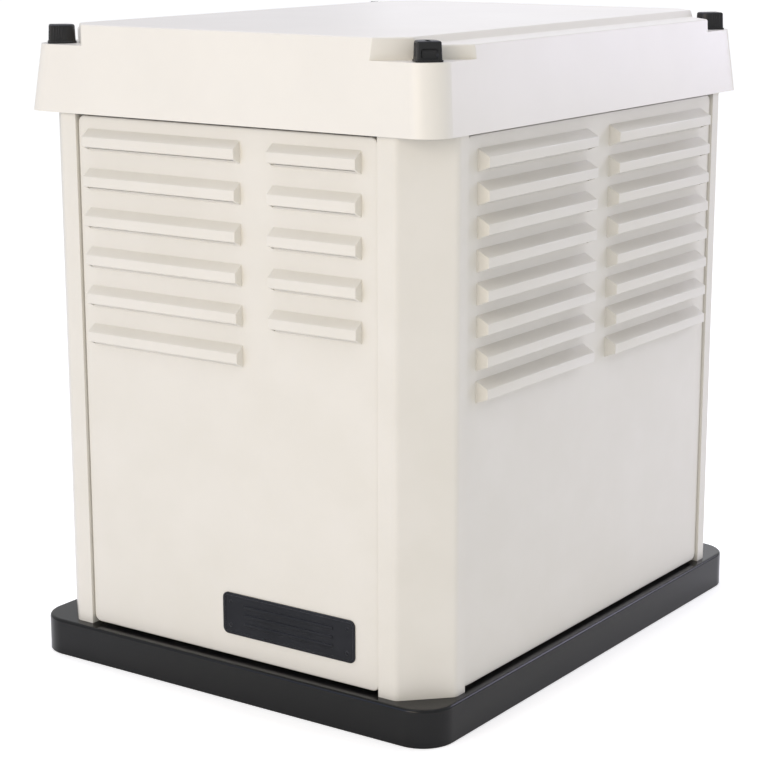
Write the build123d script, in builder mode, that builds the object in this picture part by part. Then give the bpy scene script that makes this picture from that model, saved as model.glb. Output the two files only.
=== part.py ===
from build123d import *

import os
from math import sqrt

os.makedirs("parts", exist_ok=True)

# Home standby generator. The origin is the centre of the base pad's underside, +Z is up,
# -Y is the front (badge side) and +X is the right-hand side seen from the front.

# ---- Overall sizes ----
base_width = 658.0
base_depth = 820.0
base_height = 50.0
base_corner = 45.0
base_rim = 4.0
front_inset = 15.0  # from the pad's edge to the front faces of the posts
side_inset = 11.0  # from the pad's edge to the side faces of the posts
skirt_bottom = 745.0  # height of the lid's lower edge

# ---- Fits and clearances ----
seam = 1.5  # visible gap round each panel
panel_lift = 4.0  # gap between the pad and the panels
running = 0.05  # radial clearance of a shaft in its bore
snug = 0.02  # radial clearance of a piece held in its bore
soft_gap = 0.3  # clearance of rubber and foam beside other pieces

# ---- Posts and panels ----
post_chamfer = 54.0
post_thickness = 28.0
post_wall = 4.0
post_rounding = 12.0
post_face = 26.0  # width of the post's flat strip on the front and rear
post_side_face = 20.0  # width of the post's flat strip on the sides
post_above_skirt = 12.0  # how far the posts reach up inside the lid
ledge_width = 12.0
ledge_thickness = 4.0
panel_inset = 3.5
panel_wall = 4.0
panel_return = 20.0
panel_corner = 10.0
panel_edge = 3.0
hole_clearance = 1.5

# ---- Louvers: the height is measured on the panel, the lip stands out by the depth ----
louver_height = 28.5
louver_lip_low = 6.7
louver_lip_high = 18.9
louver_wall = 3.0
louver_rounding = 2.5
louver_top = 726.0
front_louver_pitch = 51.2
front_louver_depth = 13.0
side_louver_pitch = 40.4
side_louver_depth = 17.0
front_columns = ((-95.0, 250.0, 6), (146.5, 133.0, 5))  # centre, length, rows
side_columns = ((-164.0, 264.0, 8), (157.0, 264.0, 8))

# ---- Lid ----
lid_overhang = 7.0
lid_draft = 12.0
strip_height = 103.6  # from the skirt's lower edge to the side strips
plateau_rise = 9.2
plateau_inset = 57.0
lid_corner = 36.0
lid_wall = 4.0
notch_leg = 85.0
notch_height = 86.0  # from the skirt's lower edge to the notch's ledge
lid_edge = 3.0
frame_plate = 4.0
frame_gap = 6.0  # from the post faces to the top frame's edge
frame_width = 37.0
rib_inset = 33.0
rib_wall = 4.0
seal_width = 10.0
seal_height = 12.0
foam_thickness = 25.0
foam_margin = 11.0

# ---- Latches ----
latch_back = 20.0  # from the notch's back wall to the latch's axis
latch_radius = 16.5
latch_grip = 21.0
latch_height = 24.0
latch_step = 5.0
stud_radius = 4.0
socket_radius = 7.5
socket_wall = 4.5
socket_height = 16.0
bush_height = 14.0
nut_height = 4.5

# ---- Inner structure ----
anchor_radius = 5.5
anchor_x = 150.0
anchor_y = 366.0
tray_half_x = 270.0
tray_half_y = 345.0
tray_sheet = 2.0
tray_flange = 18.0
rail_height = 30.0
rail_width = 40.0
rail_wall = 3.0
rail_front = -150.0
rail_rear = 330.0
rail_half_span = 100.0
isolator_radius = 20.0
isolator_height = 25.0
isolator_front = -20.0
isolator_rear = 270.0
bulkhead_y = -163.0
bulkhead_sheet = 2.0
intake_radius = 100.0

# ---- Engine ----
crank_x = -70.0
crank_height = 130.0  # from the engine feet to the crank axis
crankcase_half_x = 85.0
crankcase_front = -50.0
crankcase_rear = 110.0
crankcase_deck = 103.0  # from the crank axis to the deck
crankcase_wall = 10.0
foot_thickness = 10.0
journal_radius = 17.5
bore_centre_y = 30.0
bore_radius = 45.0
piston_gap = 0.05
stroke = 66.0
rod_length = 110.0
fin_pitch = 9.0
fin_thickness = 2.5
fin_count = 9
barrel_height = 100.0
head_height = 55.0
head_half = 60.0
rocker_height = 35.0
port_radius = 14.0
plug_radius = 7.0
flywheel_radius = 115.0
fan_blades = 16
housing_radius = 140.0
housing_wall = 2.5
housing_front = -150.0
housing_rear = -52.0
mixer_radius = 22.0
mixer_length = 70.0
muffler_length = 260.0
muffler_width = 150.0
muffler_height = 120.0
muffler_wall = 2.0

# ---- Alternator ----
stator_radius = 120.0
stator_bore = 80.0
air_gap = 1.0
stator_front = 150.0
stator_rear = 290.0
end_bell_rear = 335.0
bearing_radius = 26.0

# ---- Battery, controls and fuel ----
battery_x = 133.0
battery_width = 206.0
battery_depth = 172.0
battery_height = 190.0
battery_front = -340.0
strap_width = 25.0
strap_thickness = 3.0
box_x = 125.0
box_width = 210.0
box_low = 430.0
box_high = 650.0
box_front = -350.0
box_wall = 2.0
rocker_half_x = 9.0
rocker_half_z = 15.0
breaker_half_x = 18.0
breaker_half_z = 40.0
toggle_half_x = 6.0
lamp_radius = 5.0
inlet_radius = 16.7
inlet_bore = 12.5
inlet_y = -280.0
inlet_z = 120.0
conduit_radius = 17.5
conduit_y = -205.0
conduit_z = 120.0
hose_radius = 9.0
lead_radius = 4.0

# ---- Values worked out from the driving ones ----
post_x = base_width / 2 - side_inset
post_y = base_depth / 2 - front_inset
opening_x = post_x - post_chamfer - post_face
opening_y = post_y - post_chamfer - post_side_face
panel_face_x = post_x - panel_inset
panel_face_y = post_y - panel_inset
panel_bottom = base_height + panel_lift
panel_top = skirt_bottom - seam - 1.0
post_top = skirt_bottom + post_above_skirt
strip_z = skirt_bottom + strip_height
plateau_z = strip_z + plateau_rise
ledge_z = skirt_bottom + notch_height
lid_top_x = post_x + lid_overhang - lid_draft
lid_top_y = post_y + lid_overhang - lid_draft
notch_sum = lid_top_x + lid_top_y - notch_leg
latch_x = (lid_top_x + lid_top_x - notch_leg) / 2 + latch_back / sqrt(2)
latch_y = (lid_top_y + lid_top_y - notch_leg) / 2 + latch_back / sqrt(2)
frame_top = post_top + frame_plate
socket_top = frame_top + socket_height
engine_z = base_height + tray_sheet + rail_height + isolator_height
crank_z = engine_z + crank_height
deck_z = crank_z + crankcase_deck
barrel_z = deck_z + barrel_height
head_z = barrel_z + head_height
port_z = barrel_z + head_height / 2
bolt_floor = base_height + tray_sheet
battery_top = bolt_floor + battery_height
corners = (("front_right", 1, -1), ("front_left", -1, -1), ("rear_right", 1, 1), ("rear_left", -1, 1))
front_plane = Plane(origin=(0, -panel_face_y, 0), x_dir=(1, 0, 0), z_dir=(0, -1, 0))
rear_plane = Plane(origin=(0, panel_face_y, 0), x_dir=(-1, 0, 0), z_dir=(0, 1, 0))
right_plane = Plane(origin=(panel_face_x, 0, 0), x_dir=(0, 1, 0), z_dir=(1, 0, 0))
left_plane = Plane(origin=(-panel_face_x, 0, 0), x_dir=(0, -1, 0), z_dir=(-1, 0, 0))


def along_y(x, y, z):
    """A sketch plane across the Y axis, its normal towards +Y."""
    return Plane(origin=(x, y, z), x_dir=(-1, 0, 0), z_dir=(0, 1, 0))


def along_x(x, y, z):
    """A sketch plane across the X axis, its normal towards +X."""
    return Plane(origin=(x, y, z), x_dir=(0, 1, 0), z_dir=(1, 0, 0))


def finish(part, name):
    """Labels a finished piece and writes it to its own file."""
    part.label = name
    export_step(part, f"parts/{name}.step")


# ---- Base pad: one slab with four anchor holes ----
with BuildPart() as base_pad:
    with BuildSketch():
        RectangleRounded(base_width, base_depth, base_corner)
    extrude(amount=base_height)
    fillet(base_pad.faces().sort_by(Axis.Z)[-1].edges(), radius=base_rim)
    with Locations(Plane.XY.offset(base_height)):
        with GridLocations(2 * anchor_x, 2 * anchor_y, 2, 2):
            Hole(radius=anchor_radius)
finish(base_pad.part, "base_pad")


# ---- Corner posts: hollow bands that follow the chamfered corner, with ledges behind the panels ----
def build_post(name, sx, sy):
    """A corner post. sx and sy are the signs of its corner."""
    inner_sum = post_x + post_y - post_chamfer - post_thickness * sqrt(2)
    inner_x = post_x - post_thickness
    inner_y = post_y - post_thickness
    outline = (
        (opening_x, post_y),
        (post_x - post_chamfer, post_y),
        (post_x, post_y - post_chamfer),
        (post_x, opening_y),
        (inner_x, opening_y),
        (inner_x, inner_sum - inner_x),
        (inner_sum - inner_y, inner_y),
        (opening_x, inner_y),
    )
    rounded = ((post_x - post_chamfer, post_y), (post_x, post_y - post_chamfer))
    front_ledge_y = panel_face_y - panel_return
    side_ledge_x = panel_face_x - panel_return
    with BuildPart() as post:
        with BuildSketch(Plane.XY.offset(base_height)) as section:
            with BuildLine():
                Polyline(*[(sx * x, sy * y) for x, y in outline], close=True)
            make_face()
            for x, y in rounded:
                corner = section.vertices().sort_by_distance((sx * x, sy * y, base_height))[0]
                fillet(corner, radius=post_rounding)
            offset(amount=-post_wall, mode=Mode.SUBTRACT)
            with Locations((sx * (opening_x - ledge_width / 2 + 2), sy * (front_ledge_y - 2))):
                Rectangle(ledge_width + 4, ledge_thickness)
            with Locations((sx * (side_ledge_x - 2), sy * (opening_y - ledge_width / 2 + 2))):
                Rectangle(ledge_thickness, ledge_width + 4)
        extrude(amount=post_top - base_height)
    finish(post.part, f"post_{name}")


for corner_name, corner_sx, corner_sy in corners:
    build_post(corner_name, corner_sx, corner_sy)


# ---- Panels: shallow pans with rows of hooded louvers ----
def build_hood(length, depth):
    """A louver hood: x along the panel, y up from the hood's foot, z out of the panel."""
    with BuildPart() as hood:
        with BuildSketch(Plane(origin=(length / 2, 0, 0), x_dir=(0, 0, 1), z_dir=(-1, 0, 0))):
            Polygon(
                (-panel_wall / 2, 0),
                (0, 0),
                (depth, louver_lip_low),
                (depth, louver_lip_high),
                (0, louver_height),
                (-panel_wall / 2, louver_height),
                align=None,
            )
        extrude(amount=length)
        proud = hood.edges().filter_by(lambda edge: edge.center().Z > 0.5)
        fillet(proud, radius=louver_rounding)
    return hood.part


def build_hollow(length, depth):
    """The air way through a louver: open to the back of the panel and under the lip."""
    w = louver_wall
    with BuildPart() as hollow:
        with BuildSketch(Plane(origin=(length / 2 - w, 0, 0), x_dir=(0, 0, 1), z_dir=(-1, 0, 0))):
            Polygon(
                (-panel_wall - 1, w),
                (w, w + 0.5),
                (w, -w),
                (depth - w, -w),
                (depth - w, louver_lip_high - w / 2),
                (0, louver_height - w),
                (-panel_wall - 1, louver_height - w),
                align=None,
            )
        extrude(amount=length - 2 * w)
    return hollow.part


def build_panel(name, plane, opening, columns, pitch, depth, bores=()):
    """A side of the enclosure, built on its outer face's plane. A bore is (along, up, radius)."""
    width = opening - 2 * seam
    height = panel_top - panel_bottom
    middle = (panel_top + panel_bottom) / 2
    with BuildPart() as panel:
        with BuildSketch(plane):
            with Locations((0, middle)):
                RectangleRounded(width, height, panel_corner)
        extrude(amount=-panel_return)
        rim = panel.faces().filter_by(lambda face: abs(plane.to_local_coords(face.center()).Z) < 0.01)
        fillet(rim.edges(), radius=panel_edge)
        with BuildSketch(plane.offset(-panel_wall)):
            with Locations((0, middle)):
                RectangleRounded(width - 2 * panel_wall, height - 2 * panel_wall, panel_corner - panel_wall)
        extrude(amount=-panel_return, mode=Mode.SUBTRACT)
        for centre, length, rows in columns:
            feet = [louver_top - louver_height - pitch * row for row in range(rows)]
            places = [plane.location * Pos(centre, foot, 0) for foot in feet]
            hood = build_hood(length, depth)
            hollow = build_hollow(length, depth)
            with Locations(*places):
                add(hood)
            with Locations(*places):
                add(hollow, mode=Mode.SUBTRACT)
        for along, up, radius in bores:
            with BuildSketch(plane):
                with Locations((along, up)):
                    Circle(radius)
            extrude(amount=-panel_wall, mode=Mode.SUBTRACT)
    finish(panel.part, name)


mirrored_columns = tuple((-centre, length, rows) for centre, length, rows in side_columns)
left_bores = (
    (-inlet_y, inlet_z, inlet_radius + hole_clearance),
    (-conduit_y, conduit_z, conduit_radius),
)
build_panel("front_panel", front_plane, 2 * opening_x, front_columns, front_louver_pitch, front_louver_depth)
build_panel("rear_panel", rear_plane, 2 * opening_x, front_columns, front_louver_pitch, front_louver_depth)
build_panel("right_panel", right_plane, 2 * opening_y, side_columns, side_louver_pitch, side_louver_depth)
build_panel(
    "left_panel",
    left_plane,
    2 * opening_y,
    mirrored_columns,
    side_louver_pitch,
    side_louver_depth,
    left_bores,
)

# ---- Badge: a plain plate with a rim and three ridges ----
badge_x = 96.0
badge_z = 112.0
badge_width = 210.0
badge_height = 56.0
badge_thickness = 2.0
with BuildPart() as badge_plate:
    with BuildSketch(front_plane):
        with Locations((badge_x, badge_z)):
            RectangleRounded(badge_width, badge_height, 8)
    extrude(amount=badge_thickness)
    with BuildSketch(front_plane.offset(badge_thickness)):
        with Locations((badge_x, badge_z)):
            RectangleRounded(badge_width - 6, badge_height - 6, 6)
    extrude(amount=-0.8, mode=Mode.SUBTRACT)
    with BuildSketch(front_plane.offset(badge_thickness - 0.8)):
        with Locations((badge_x, badge_z)):
            with GridLocations(0, 12, 1, 3):
                SlotOverall(badge_width - 60, 4)
    extrude(amount=0.8)
finish(badge_plate.part, "badge_plate")


# ---- Lid ----
def build_lid_block(inset):
    """The lid's outline, moved in by inset on every face, open at its lower edge."""
    bottom_x = post_x + lid_overhang - inset
    bottom_y = post_y + lid_overhang - inset
    top = plateau_z - inset
    reach = notch_leg + lid_corner
    with BuildPart() as block:
        with BuildSketch(Plane.XY.offset(skirt_bottom)):
            RectangleRounded(2 * bottom_x, 2 * bottom_y, lid_corner - inset)
        with BuildSketch(Plane.XY.offset(top)):
            RectangleRounded(2 * (bottom_x - lid_draft), 2 * (bottom_y - lid_draft), lid_corner - inset)
        loft()
        for side in (1, -1):
            with BuildSketch(Plane.XZ.offset(-bottom_y - 1)):
                low = strip_z - inset
                foot = post_x - plateau_inset + inset * 0.4
                with BuildLine():
                    Polyline(
                        (side * foot, top + 5),
                        (side * (foot - inset * 0.8), top),
                        (side * (foot + 6 - inset * 0.8), low),
                        (side * (post_x + 20), low),
                        (side * (post_x + 20), top + 5),
                        close=True,
                    )
                make_face()
            extrude(amount=2 * bottom_y + 2, mode=Mode.SUBTRACT)
        for _, sx, sy in corners:
            start = notch_sum - inset * sqrt(2)
            with BuildSketch(Plane.XY.offset(ledge_z - inset)):
                with BuildLine():
                    Polyline(
                        (sx * (start - lid_top_y - reach), sy * (lid_top_y + reach)),
                        (sx * (lid_top_x + reach), sy * (start - lid_top_x - reach)),
                        (sx * (lid_top_x + reach), sy * (lid_top_y + reach)),
                        close=True,
                    )
                make_face()
            extrude(amount=top, mode=Mode.SUBTRACT)
    return block


def ring(half_x, half_y, corner_sum, width):
    """A flat ring with cut corners, drawn in the current sketch."""
    for inset, mode in ((0, Mode.ADD), (width, Mode.SUBTRACT)):
        x = half_x - inset
        y = half_y - inset
        total = corner_sum - inset * sqrt(2)
        Polygon(
            (x, total - x),
            (total - y, y),
            (y - total, y),
            (-x, total - x),
            (-x, x - total),
            (y - total, -y),
            (total - y, -y),
            (x, x - total),
            align=None,
            mode=mode,
        )


rib_x = post_x - rib_inset
rib_y = post_y - rib_inset
rib_sum = notch_sum - lid_wall * sqrt(2) - 8
outer_block = build_lid_block(0)
inner_block = build_lid_block(lid_wall)
with BuildPart() as lid:
    add(outer_block)
    crown = lid.edges().filter_by(lambda edge: edge.center().Z > ledge_z + 0.5)
    fillet(crown, radius=lid_edge)
    add(inner_block, mode=Mode.SUBTRACT)
    with BuildSketch(Plane.XY.offset(frame_top + seal_height)):
        ring(rib_x, rib_y, rib_sum, rib_wall)
    extrude(amount=strip_z - lid_wall / 2 - frame_top - seal_height)
    with BuildSketch(Plane.XY.offset(socket_top)):
        for _, sx, sy in corners:
            with Locations((sx * latch_x, sy * latch_y)):
                Circle(socket_radius + socket_wall)
    extrude(amount=ledge_z - lid_wall / 2 - socket_top)
    with BuildSketch(Plane.XY.offset(socket_top)):
        for _, sx, sy in corners:
            with Locations((sx * latch_x, sy * latch_y)):
                Circle(stud_radius + running)
    extrude(amount=notch_height, mode=Mode.SUBTRACT)
finish(lid.part, "lid")

with BuildPart() as lid_seal:
    with BuildSketch(Plane.XY.offset(frame_top)):
        ring(rib_x + 3, rib_y + 3, rib_sum + 3 * sqrt(2), seal_width)
    extrude(amount=seal_height - soft_gap)
finish(lid_seal.part, "lid_seal")

with BuildPart() as lid_foam:
    with BuildSketch(Plane.XY.offset(plateau_z - lid_wall - foam_thickness)):
        Rectangle(2 * (post_x - plateau_inset - foam_margin), 2 * (rib_y - rib_wall - foam_margin))
    extrude(amount=foam_thickness)
finish(lid_foam.part, "lid_foam")

with BuildPart() as latch_bushes:
    with BuildSketch(Plane.XY.offset(socket_top - bush_height)):
        for _, sx, sy in corners:
            with Locations((sx * latch_x, sy * latch_y)):
                Circle(socket_radius - soft_gap)
                Circle(stud_radius + soft_gap, mode=Mode.SUBTRACT)
    extrude(amount=bush_height)
finish(latch_bushes.part, "latch_bushes")


# ---- Latches: quarter-turn knobs whose studs squeeze a rubber bush in the top frame ----
def build_latch(name, sx, sy):
    """A latch knob with its stud and nut. The grip points out over the lid's corner."""
    outward = Plane(origin=(sx * latch_x, sy * latch_y, ledge_z), x_dir=(sx, sy, 0), z_dir=(0, 0, 1))
    nut_z = socket_top - bush_height - nut_height - ledge_z
    with BuildPart() as latch:
        with BuildSketch(outward):
            Circle(latch_radius)
            with Locations((latch_grip / 2, 0)):
                Rectangle(latch_grip, 2 * latch_radius)
        extrude(amount=latch_height)
        rounded = latch.edges().filter_by(lambda edge: edge.center().Z > ledge_z + 1)
        fillet(rounded, radius=2.5)
        with BuildSketch(outward.offset(latch_height)):
            with Locations((latch_grip / 3, 0)):
                SlotOverall(latch_grip, latch_step)
        extrude(amount=-latch_step / 2, mode=Mode.SUBTRACT)
        with BuildSketch(outward):
            Circle(stud_radius)
        extrude(amount=nut_z)
        with BuildSketch(outward.offset(nut_z)):
            RegularPolygon(socket_radius - soft_gap - 0.4, 6)
        extrude(amount=nut_height)
    finish(latch.part, f"latch_{name}")


for corner_name, corner_sx, corner_sy in corners:
    build_latch(corner_name, corner_sx, corner_sy)

# ---- Top frame: ties the posts and carries the lid's weight on four sockets ----
with BuildPart() as top_frame:
    with BuildSketch(Plane.XY.offset(post_top)):
        ring(post_x - frame_gap, post_y - frame_gap, post_x + post_y - post_chamfer, frame_width)
        for _, sx, sy in corners:
            with Locations((sx * latch_x, sy * latch_y)):
                Circle(socket_radius, mode=Mode.SUBTRACT)
    extrude(amount=frame_plate)
    with BuildSketch(Plane.XY.offset(frame_top)):
        for _, sx, sy in corners:
            with Locations((sx * latch_x, sy * latch_y)):
                Circle(socket_radius + socket_wall)
                Circle(socket_radius, mode=Mode.SUBTRACT)
    extrude(amount=socket_height)
finish(top_frame.part, "top_frame")

# ---- Floor tray, engine rails, isolators and bulkhead ----
with BuildPart() as floor_tray:
    with BuildSketch(Plane.XY.offset(base_height)):
        RectangleRounded(2 * tray_half_x, 2 * tray_half_y, 12)
    extrude(amount=tray_flange)
    with BuildSketch(Plane.XY.offset(bolt_floor)):
        RectangleRounded(2 * (tray_half_x - tray_sheet), 2 * (tray_half_y - tray_sheet), 10)
    extrude(amount=tray_flange, mode=Mode.SUBTRACT)
finish(floor_tray.part, "floor_tray")

with BuildPart() as mount_rails:
    for rail_x in (crank_x - rail_half_span, crank_x + rail_half_span):
        with BuildSketch(along_y(rail_x, rail_front, bolt_floor + rail_height / 2)):
            Rectangle(rail_width, rail_height)
            Rectangle(rail_width - 2 * rail_wall, rail_height - 2 * rail_wall, mode=Mode.SUBTRACT)
        extrude(amount=rail_rear - rail_front)
finish(mount_rails.part, "mount_rails")

isolator_chamfer = 2.0
with BuildPart() as isolators:
    with BuildSketch(Plane.XY.offset(bolt_floor + rail_height)):
        for rail_x in (crank_x - rail_half_span, crank_x + rail_half_span):
            for isolator_y in (isolator_front, isolator_rear):
                with Locations((rail_x, isolator_y)):
                    Circle(isolator_radius - isolator_chamfer)
    extrude(amount=isolator_height)
    waist = isolators.edges().filter_by(GeomType.CIRCLE)
    chamfer(waist, length=isolator_chamfer)
finish(isolators.part, "isolators")

positive_hole = (-235.0, 330.0)
hose_hole = (-180.0, 540.0)
bulkhead_drop = 10.0  # from the post tops to the sheet's upper edge
grommet_gap = 3.0
with BuildPart() as bulkhead:
    with BuildSketch(along_y(0, bulkhead_y, 0)):
        with Locations((0, (post_top + bolt_floor) / 2)):
            Rectangle(2 * (tray_half_x - 2 * tray_sheet), post_top - bulkhead_drop - bolt_floor)
        with Locations((-crank_x, crank_z)):
            Circle(intake_radius, mode=Mode.SUBTRACT)
        with Locations((-positive_hole[0], positive_hole[1])):
            Circle(lead_radius + grommet_gap, mode=Mode.SUBTRACT)
        with Locations((-hose_hole[0], hose_hole[1])):
            Circle(hose_radius + grommet_gap, mode=Mode.SUBTRACT)
    extrude(amount=bulkhead_sheet)
finish(bulkhead.part, "bulkhead")

# ---- Crankcase ----
case_height = deck_z - engine_z
web_swing = stroke / 2 + 29.0
filler_reach = 23.0  # from the crankcase wall to the filler's axis
filler_y = 85.0
filler_radius = 14.0
filler_bore = 9.0
filler_low = -60.0  # heights from the crank axis
filler_high = 63.0
filler_bore_low = -52.0
case_rib = 2.5
with BuildPart() as crankcase:
    with BuildSketch(Plane.XY.offset(engine_z)):
        with Locations((crank_x, (crankcase_front + crankcase_rear) / 2)):
            RectangleRounded(2 * crankcase_half_x, crankcase_rear - crankcase_front, 12)
    extrude(amount=case_height)
    with BuildSketch(Plane.XY.offset(engine_z)):
        with Locations((crank_x, isolator_front)):
            RectangleRounded(2 * rail_half_span + 2 * isolator_radius, 2 * isolator_radius, 8)
    extrude(amount=foot_thickness)
    with BuildSketch(Plane.XY.offset(engine_z + 2 * crankcase_wall)):
        with Locations((crank_x, (crankcase_front + crankcase_rear) / 2)):
            Rectangle(
                2 * (crankcase_half_x - crankcase_wall), crankcase_rear - crankcase_front - 2 * crankcase_wall
            )
    extrude(amount=case_height - 3 * crankcase_wall, mode=Mode.SUBTRACT)
    with BuildSketch(along_y(crank_x, crankcase_front, crank_z)):
        Circle(journal_radius + running)
    extrude(amount=crankcase_rear - crankcase_front, mode=Mode.SUBTRACT)
    with BuildSketch(Plane.XY.offset(deck_z)):
        with Locations((crank_x, bore_centre_y)):
            Circle(bore_radius)
    extrude(amount=-2 * crankcase_wall, mode=Mode.SUBTRACT)
    # ribs on the two long walls
    with BuildSketch(Plane.XY.offset(engine_z + foot_thickness)):
        for rib_y_place in (-10.0, 30.0, 70.0):
            with Locations((crank_x, rib_y_place)):
                Rectangle(2 * (crankcase_half_x + case_rib), 2 * case_rib)
        with Locations((crank_x, (crankcase_front + crankcase_rear) / 2)):
            Rectangle(
                2 * crankcase_half_x - 1, crankcase_rear - crankcase_front - 2, mode=Mode.SUBTRACT
            )
    extrude(amount=case_height - foot_thickness - 20)
    # oil filler neck on the right wall
    with BuildSketch(Plane.XY.offset(crank_z + filler_low)):
        with Locations((crank_x + crankcase_half_x + filler_reach, filler_y)):
            Circle(filler_radius)
        with Locations((crank_x + crankcase_half_x + filler_reach / 2 - 0.5, filler_y)):
            Rectangle(filler_reach + 1, filler_radius + 2)
    extrude(amount=-filler_low)
    with BuildSketch(Plane.XY.offset(crank_z)):
        with Locations((crank_x + crankcase_half_x + filler_reach, filler_y)):
            Circle(filler_radius)
    extrude(amount=filler_high)
    with BuildSketch(Plane.XY.offset(crank_z + filler_high)):
        with Locations((crank_x + crankcase_half_x + filler_reach, filler_y)):
            Circle(filler_bore)
    extrude(amount=filler_bore_low - filler_high, mode=Mode.SUBTRACT)
finish(crankcase.part, "crankcase")

# ---- Alternator adapter: a dished bell between the crankcase and the stator ----
adapter_wall = 8.0
adapter_windows = 6
adapter_window_radius = 10.0
adapter_window_inset = 25.0
shaft_gap = 4.0
with BuildPart() as alternator_adapter:
    with BuildSketch(along_y(crank_x, crankcase_rear, crank_z)):
        Circle(crankcase_half_x)
    with BuildSketch(along_y(crank_x, stator_front, crank_z)):
        Circle(stator_radius)
    loft()
    with BuildSketch(along_y(crank_x, crankcase_rear + adapter_wall, crank_z)):
        Circle(crankcase_half_x - adapter_wall)
    with BuildSketch(along_y(crank_x, stator_front + 1, crank_z)):
        Circle(stator_radius - adapter_wall)
    loft(mode=Mode.SUBTRACT)
    with BuildSketch(along_y(crank_x, crankcase_rear - 1, crank_z)):
        Circle(journal_radius + shaft_gap)
        with PolarLocations(crankcase_half_x - adapter_window_inset, adapter_windows):
            Circle(adapter_window_radius)
    extrude(amount=adapter_wall + shaft_gap, mode=Mode.SUBTRACT)
finish(alternator_adapter.part, "alternator_adapter")

# ---- Cylinder, head and rocker cover ----
barrel_wall = 9.0
barrel_flange = 124.0
flange_thickness = 8.0
first_fin = 14.0
fin_width = 140.0
fin_depth = 136.0
with BuildPart() as cylinder:
    with BuildSketch(Plane.XY.offset(deck_z)):
        with Locations((crank_x, bore_centre_y)):
            Circle(bore_radius + barrel_wall)
    extrude(amount=barrel_height)
    with BuildSketch(Plane.XY.offset(deck_z)):
        with Locations((crank_x, bore_centre_y)):
            RectangleRounded(barrel_flange, barrel_flange, 10)
    extrude(amount=flange_thickness)
    for fin in range(fin_count):
        with BuildSketch(Plane.XY.offset(deck_z + first_fin + fin * fin_pitch)):
            with Locations((crank_x, bore_centre_y)):
                RectangleRounded(fin_width, fin_depth, 20)
        extrude(amount=fin_thickness)
    with BuildSketch(Plane.XY.offset(deck_z)):
        with Locations((crank_x, bore_centre_y)):
            Circle(bore_radius)
    extrude(amount=barrel_height, mode=Mode.SUBTRACT)
finish(cylinder.part, "cylinder")

head_fins = 3
head_first_fin = 5.0
head_fin_shift = 12.0
with BuildPart() as cylinder_head:
    with BuildSketch(Plane.XY.offset(barrel_z)):
        with Locations((crank_x, bore_centre_y)):
            RectangleRounded(2 * head_half, 2 * head_half, 10)
    extrude(amount=head_height)
    for fin in range(head_fins):
        with BuildSketch(Plane.XY.offset(barrel_z + head_first_fin + fin * 4 * fin_thickness)):
            with Locations((crank_x, bore_centre_y + head_fin_shift)):
                RectangleRounded(2 * head_half, 2 * head_half, 14)
        extrude(amount=fin_thickness)
    with BuildSketch(along_x(crank_x - head_half, bore_centre_y, port_z)):
        Circle(port_radius)
    extrude(amount=2 * head_half, mode=Mode.SUBTRACT)
    with BuildSketch(along_y(crank_x, bore_centre_y - head_half, port_z)):
        Circle(plug_radius + snug)
    extrude(amount=head_half - port_radius - 2, mode=Mode.SUBTRACT)
finish(cylinder_head.part, "cylinder_head")

cover_width = 100.0
cover_depth = 90.0
cover_flange = 8.0
cover_flange_thickness = 5.0
cover_wall = 4.0
cover_top = 5.0
cover_rounding = 7.0
cover_bolt = 4.0
with BuildPart() as rocker_cover:
    with BuildSketch(Plane.XY.offset(head_z)):
        with Locations((crank_x, bore_centre_y)):
            RectangleRounded(cover_width + 2 * cover_flange, cover_depth + 2 * cover_flange, 10)
    extrude(amount=cover_flange_thickness)
    with BuildSketch(Plane.XY.offset(head_z)):
        with Locations((crank_x, bore_centre_y)):
            RectangleRounded(cover_width, cover_depth, 14)
    extrude(amount=rocker_height)
    fillet(rocker_cover.faces().sort_by(Axis.Z)[-1].edges(), radius=cover_rounding)
    with BuildSketch(Plane.XY.offset(head_z)):
        with Locations((crank_x, bore_centre_y)):
            RectangleRounded(cover_width - 2 * cover_wall, cover_depth - 2 * cover_wall, 10)
    extrude(amount=rocker_height - cover_top, mode=Mode.SUBTRACT)
    with BuildSketch(Plane.XY.offset(head_z + cover_flange_thickness)):
        with Locations((crank_x, bore_centre_y)):
            with GridLocations(cover_width + 2, cover_depth + 2, 2, 2):
                RegularPolygon(cover_bolt, 6)
    extrude(amount=cover_flange_thickness)
finish(rocker_cover.part, "rocker_cover")

# ---- Piston, stopped at the top of its stroke ----
pin_z = crank_z + stroke / 2 + rod_length
skirt_drop = 22.0  # from the pin's axis
crown_low = 20.0
crown_high = 30.0
piston_wall = 5.0
ring_width = 2.0
ring_depth = 1.5
pin_radius = 9.0
pin_end_gap = 3.0
with BuildPart() as piston:
    with BuildSketch(Plane.XY.offset(pin_z - skirt_drop)):
        with Locations((crank_x, bore_centre_y)):
            Circle(bore_radius - piston_gap)
            Circle(bore_radius - piston_wall, mode=Mode.SUBTRACT)
    extrude(amount=crown_high + skirt_drop)
    with BuildSketch(Plane.XY.offset(pin_z + crown_low)):
        with Locations((crank_x, bore_centre_y)):
            Circle(bore_radius - piston_gap)
    extrude(amount=crown_high - crown_low)
    for ring_z in (pin_z + 12, pin_z + 18, pin_z + 24):
        with BuildSketch(Plane.XY.offset(ring_z)):
            with Locations((crank_x, bore_centre_y)):
                Circle(bore_radius + 1)
                Circle(bore_radius - ring_depth, mode=Mode.SUBTRACT)
        extrude(amount=ring_width, mode=Mode.SUBTRACT)
    with BuildSketch(along_y(crank_x, bore_centre_y - bore_radius + pin_end_gap, pin_z)):
        Circle(pin_radius)
    extrude(amount=2 * (bore_radius - pin_end_gap))
finish(piston.part, "piston")

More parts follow.
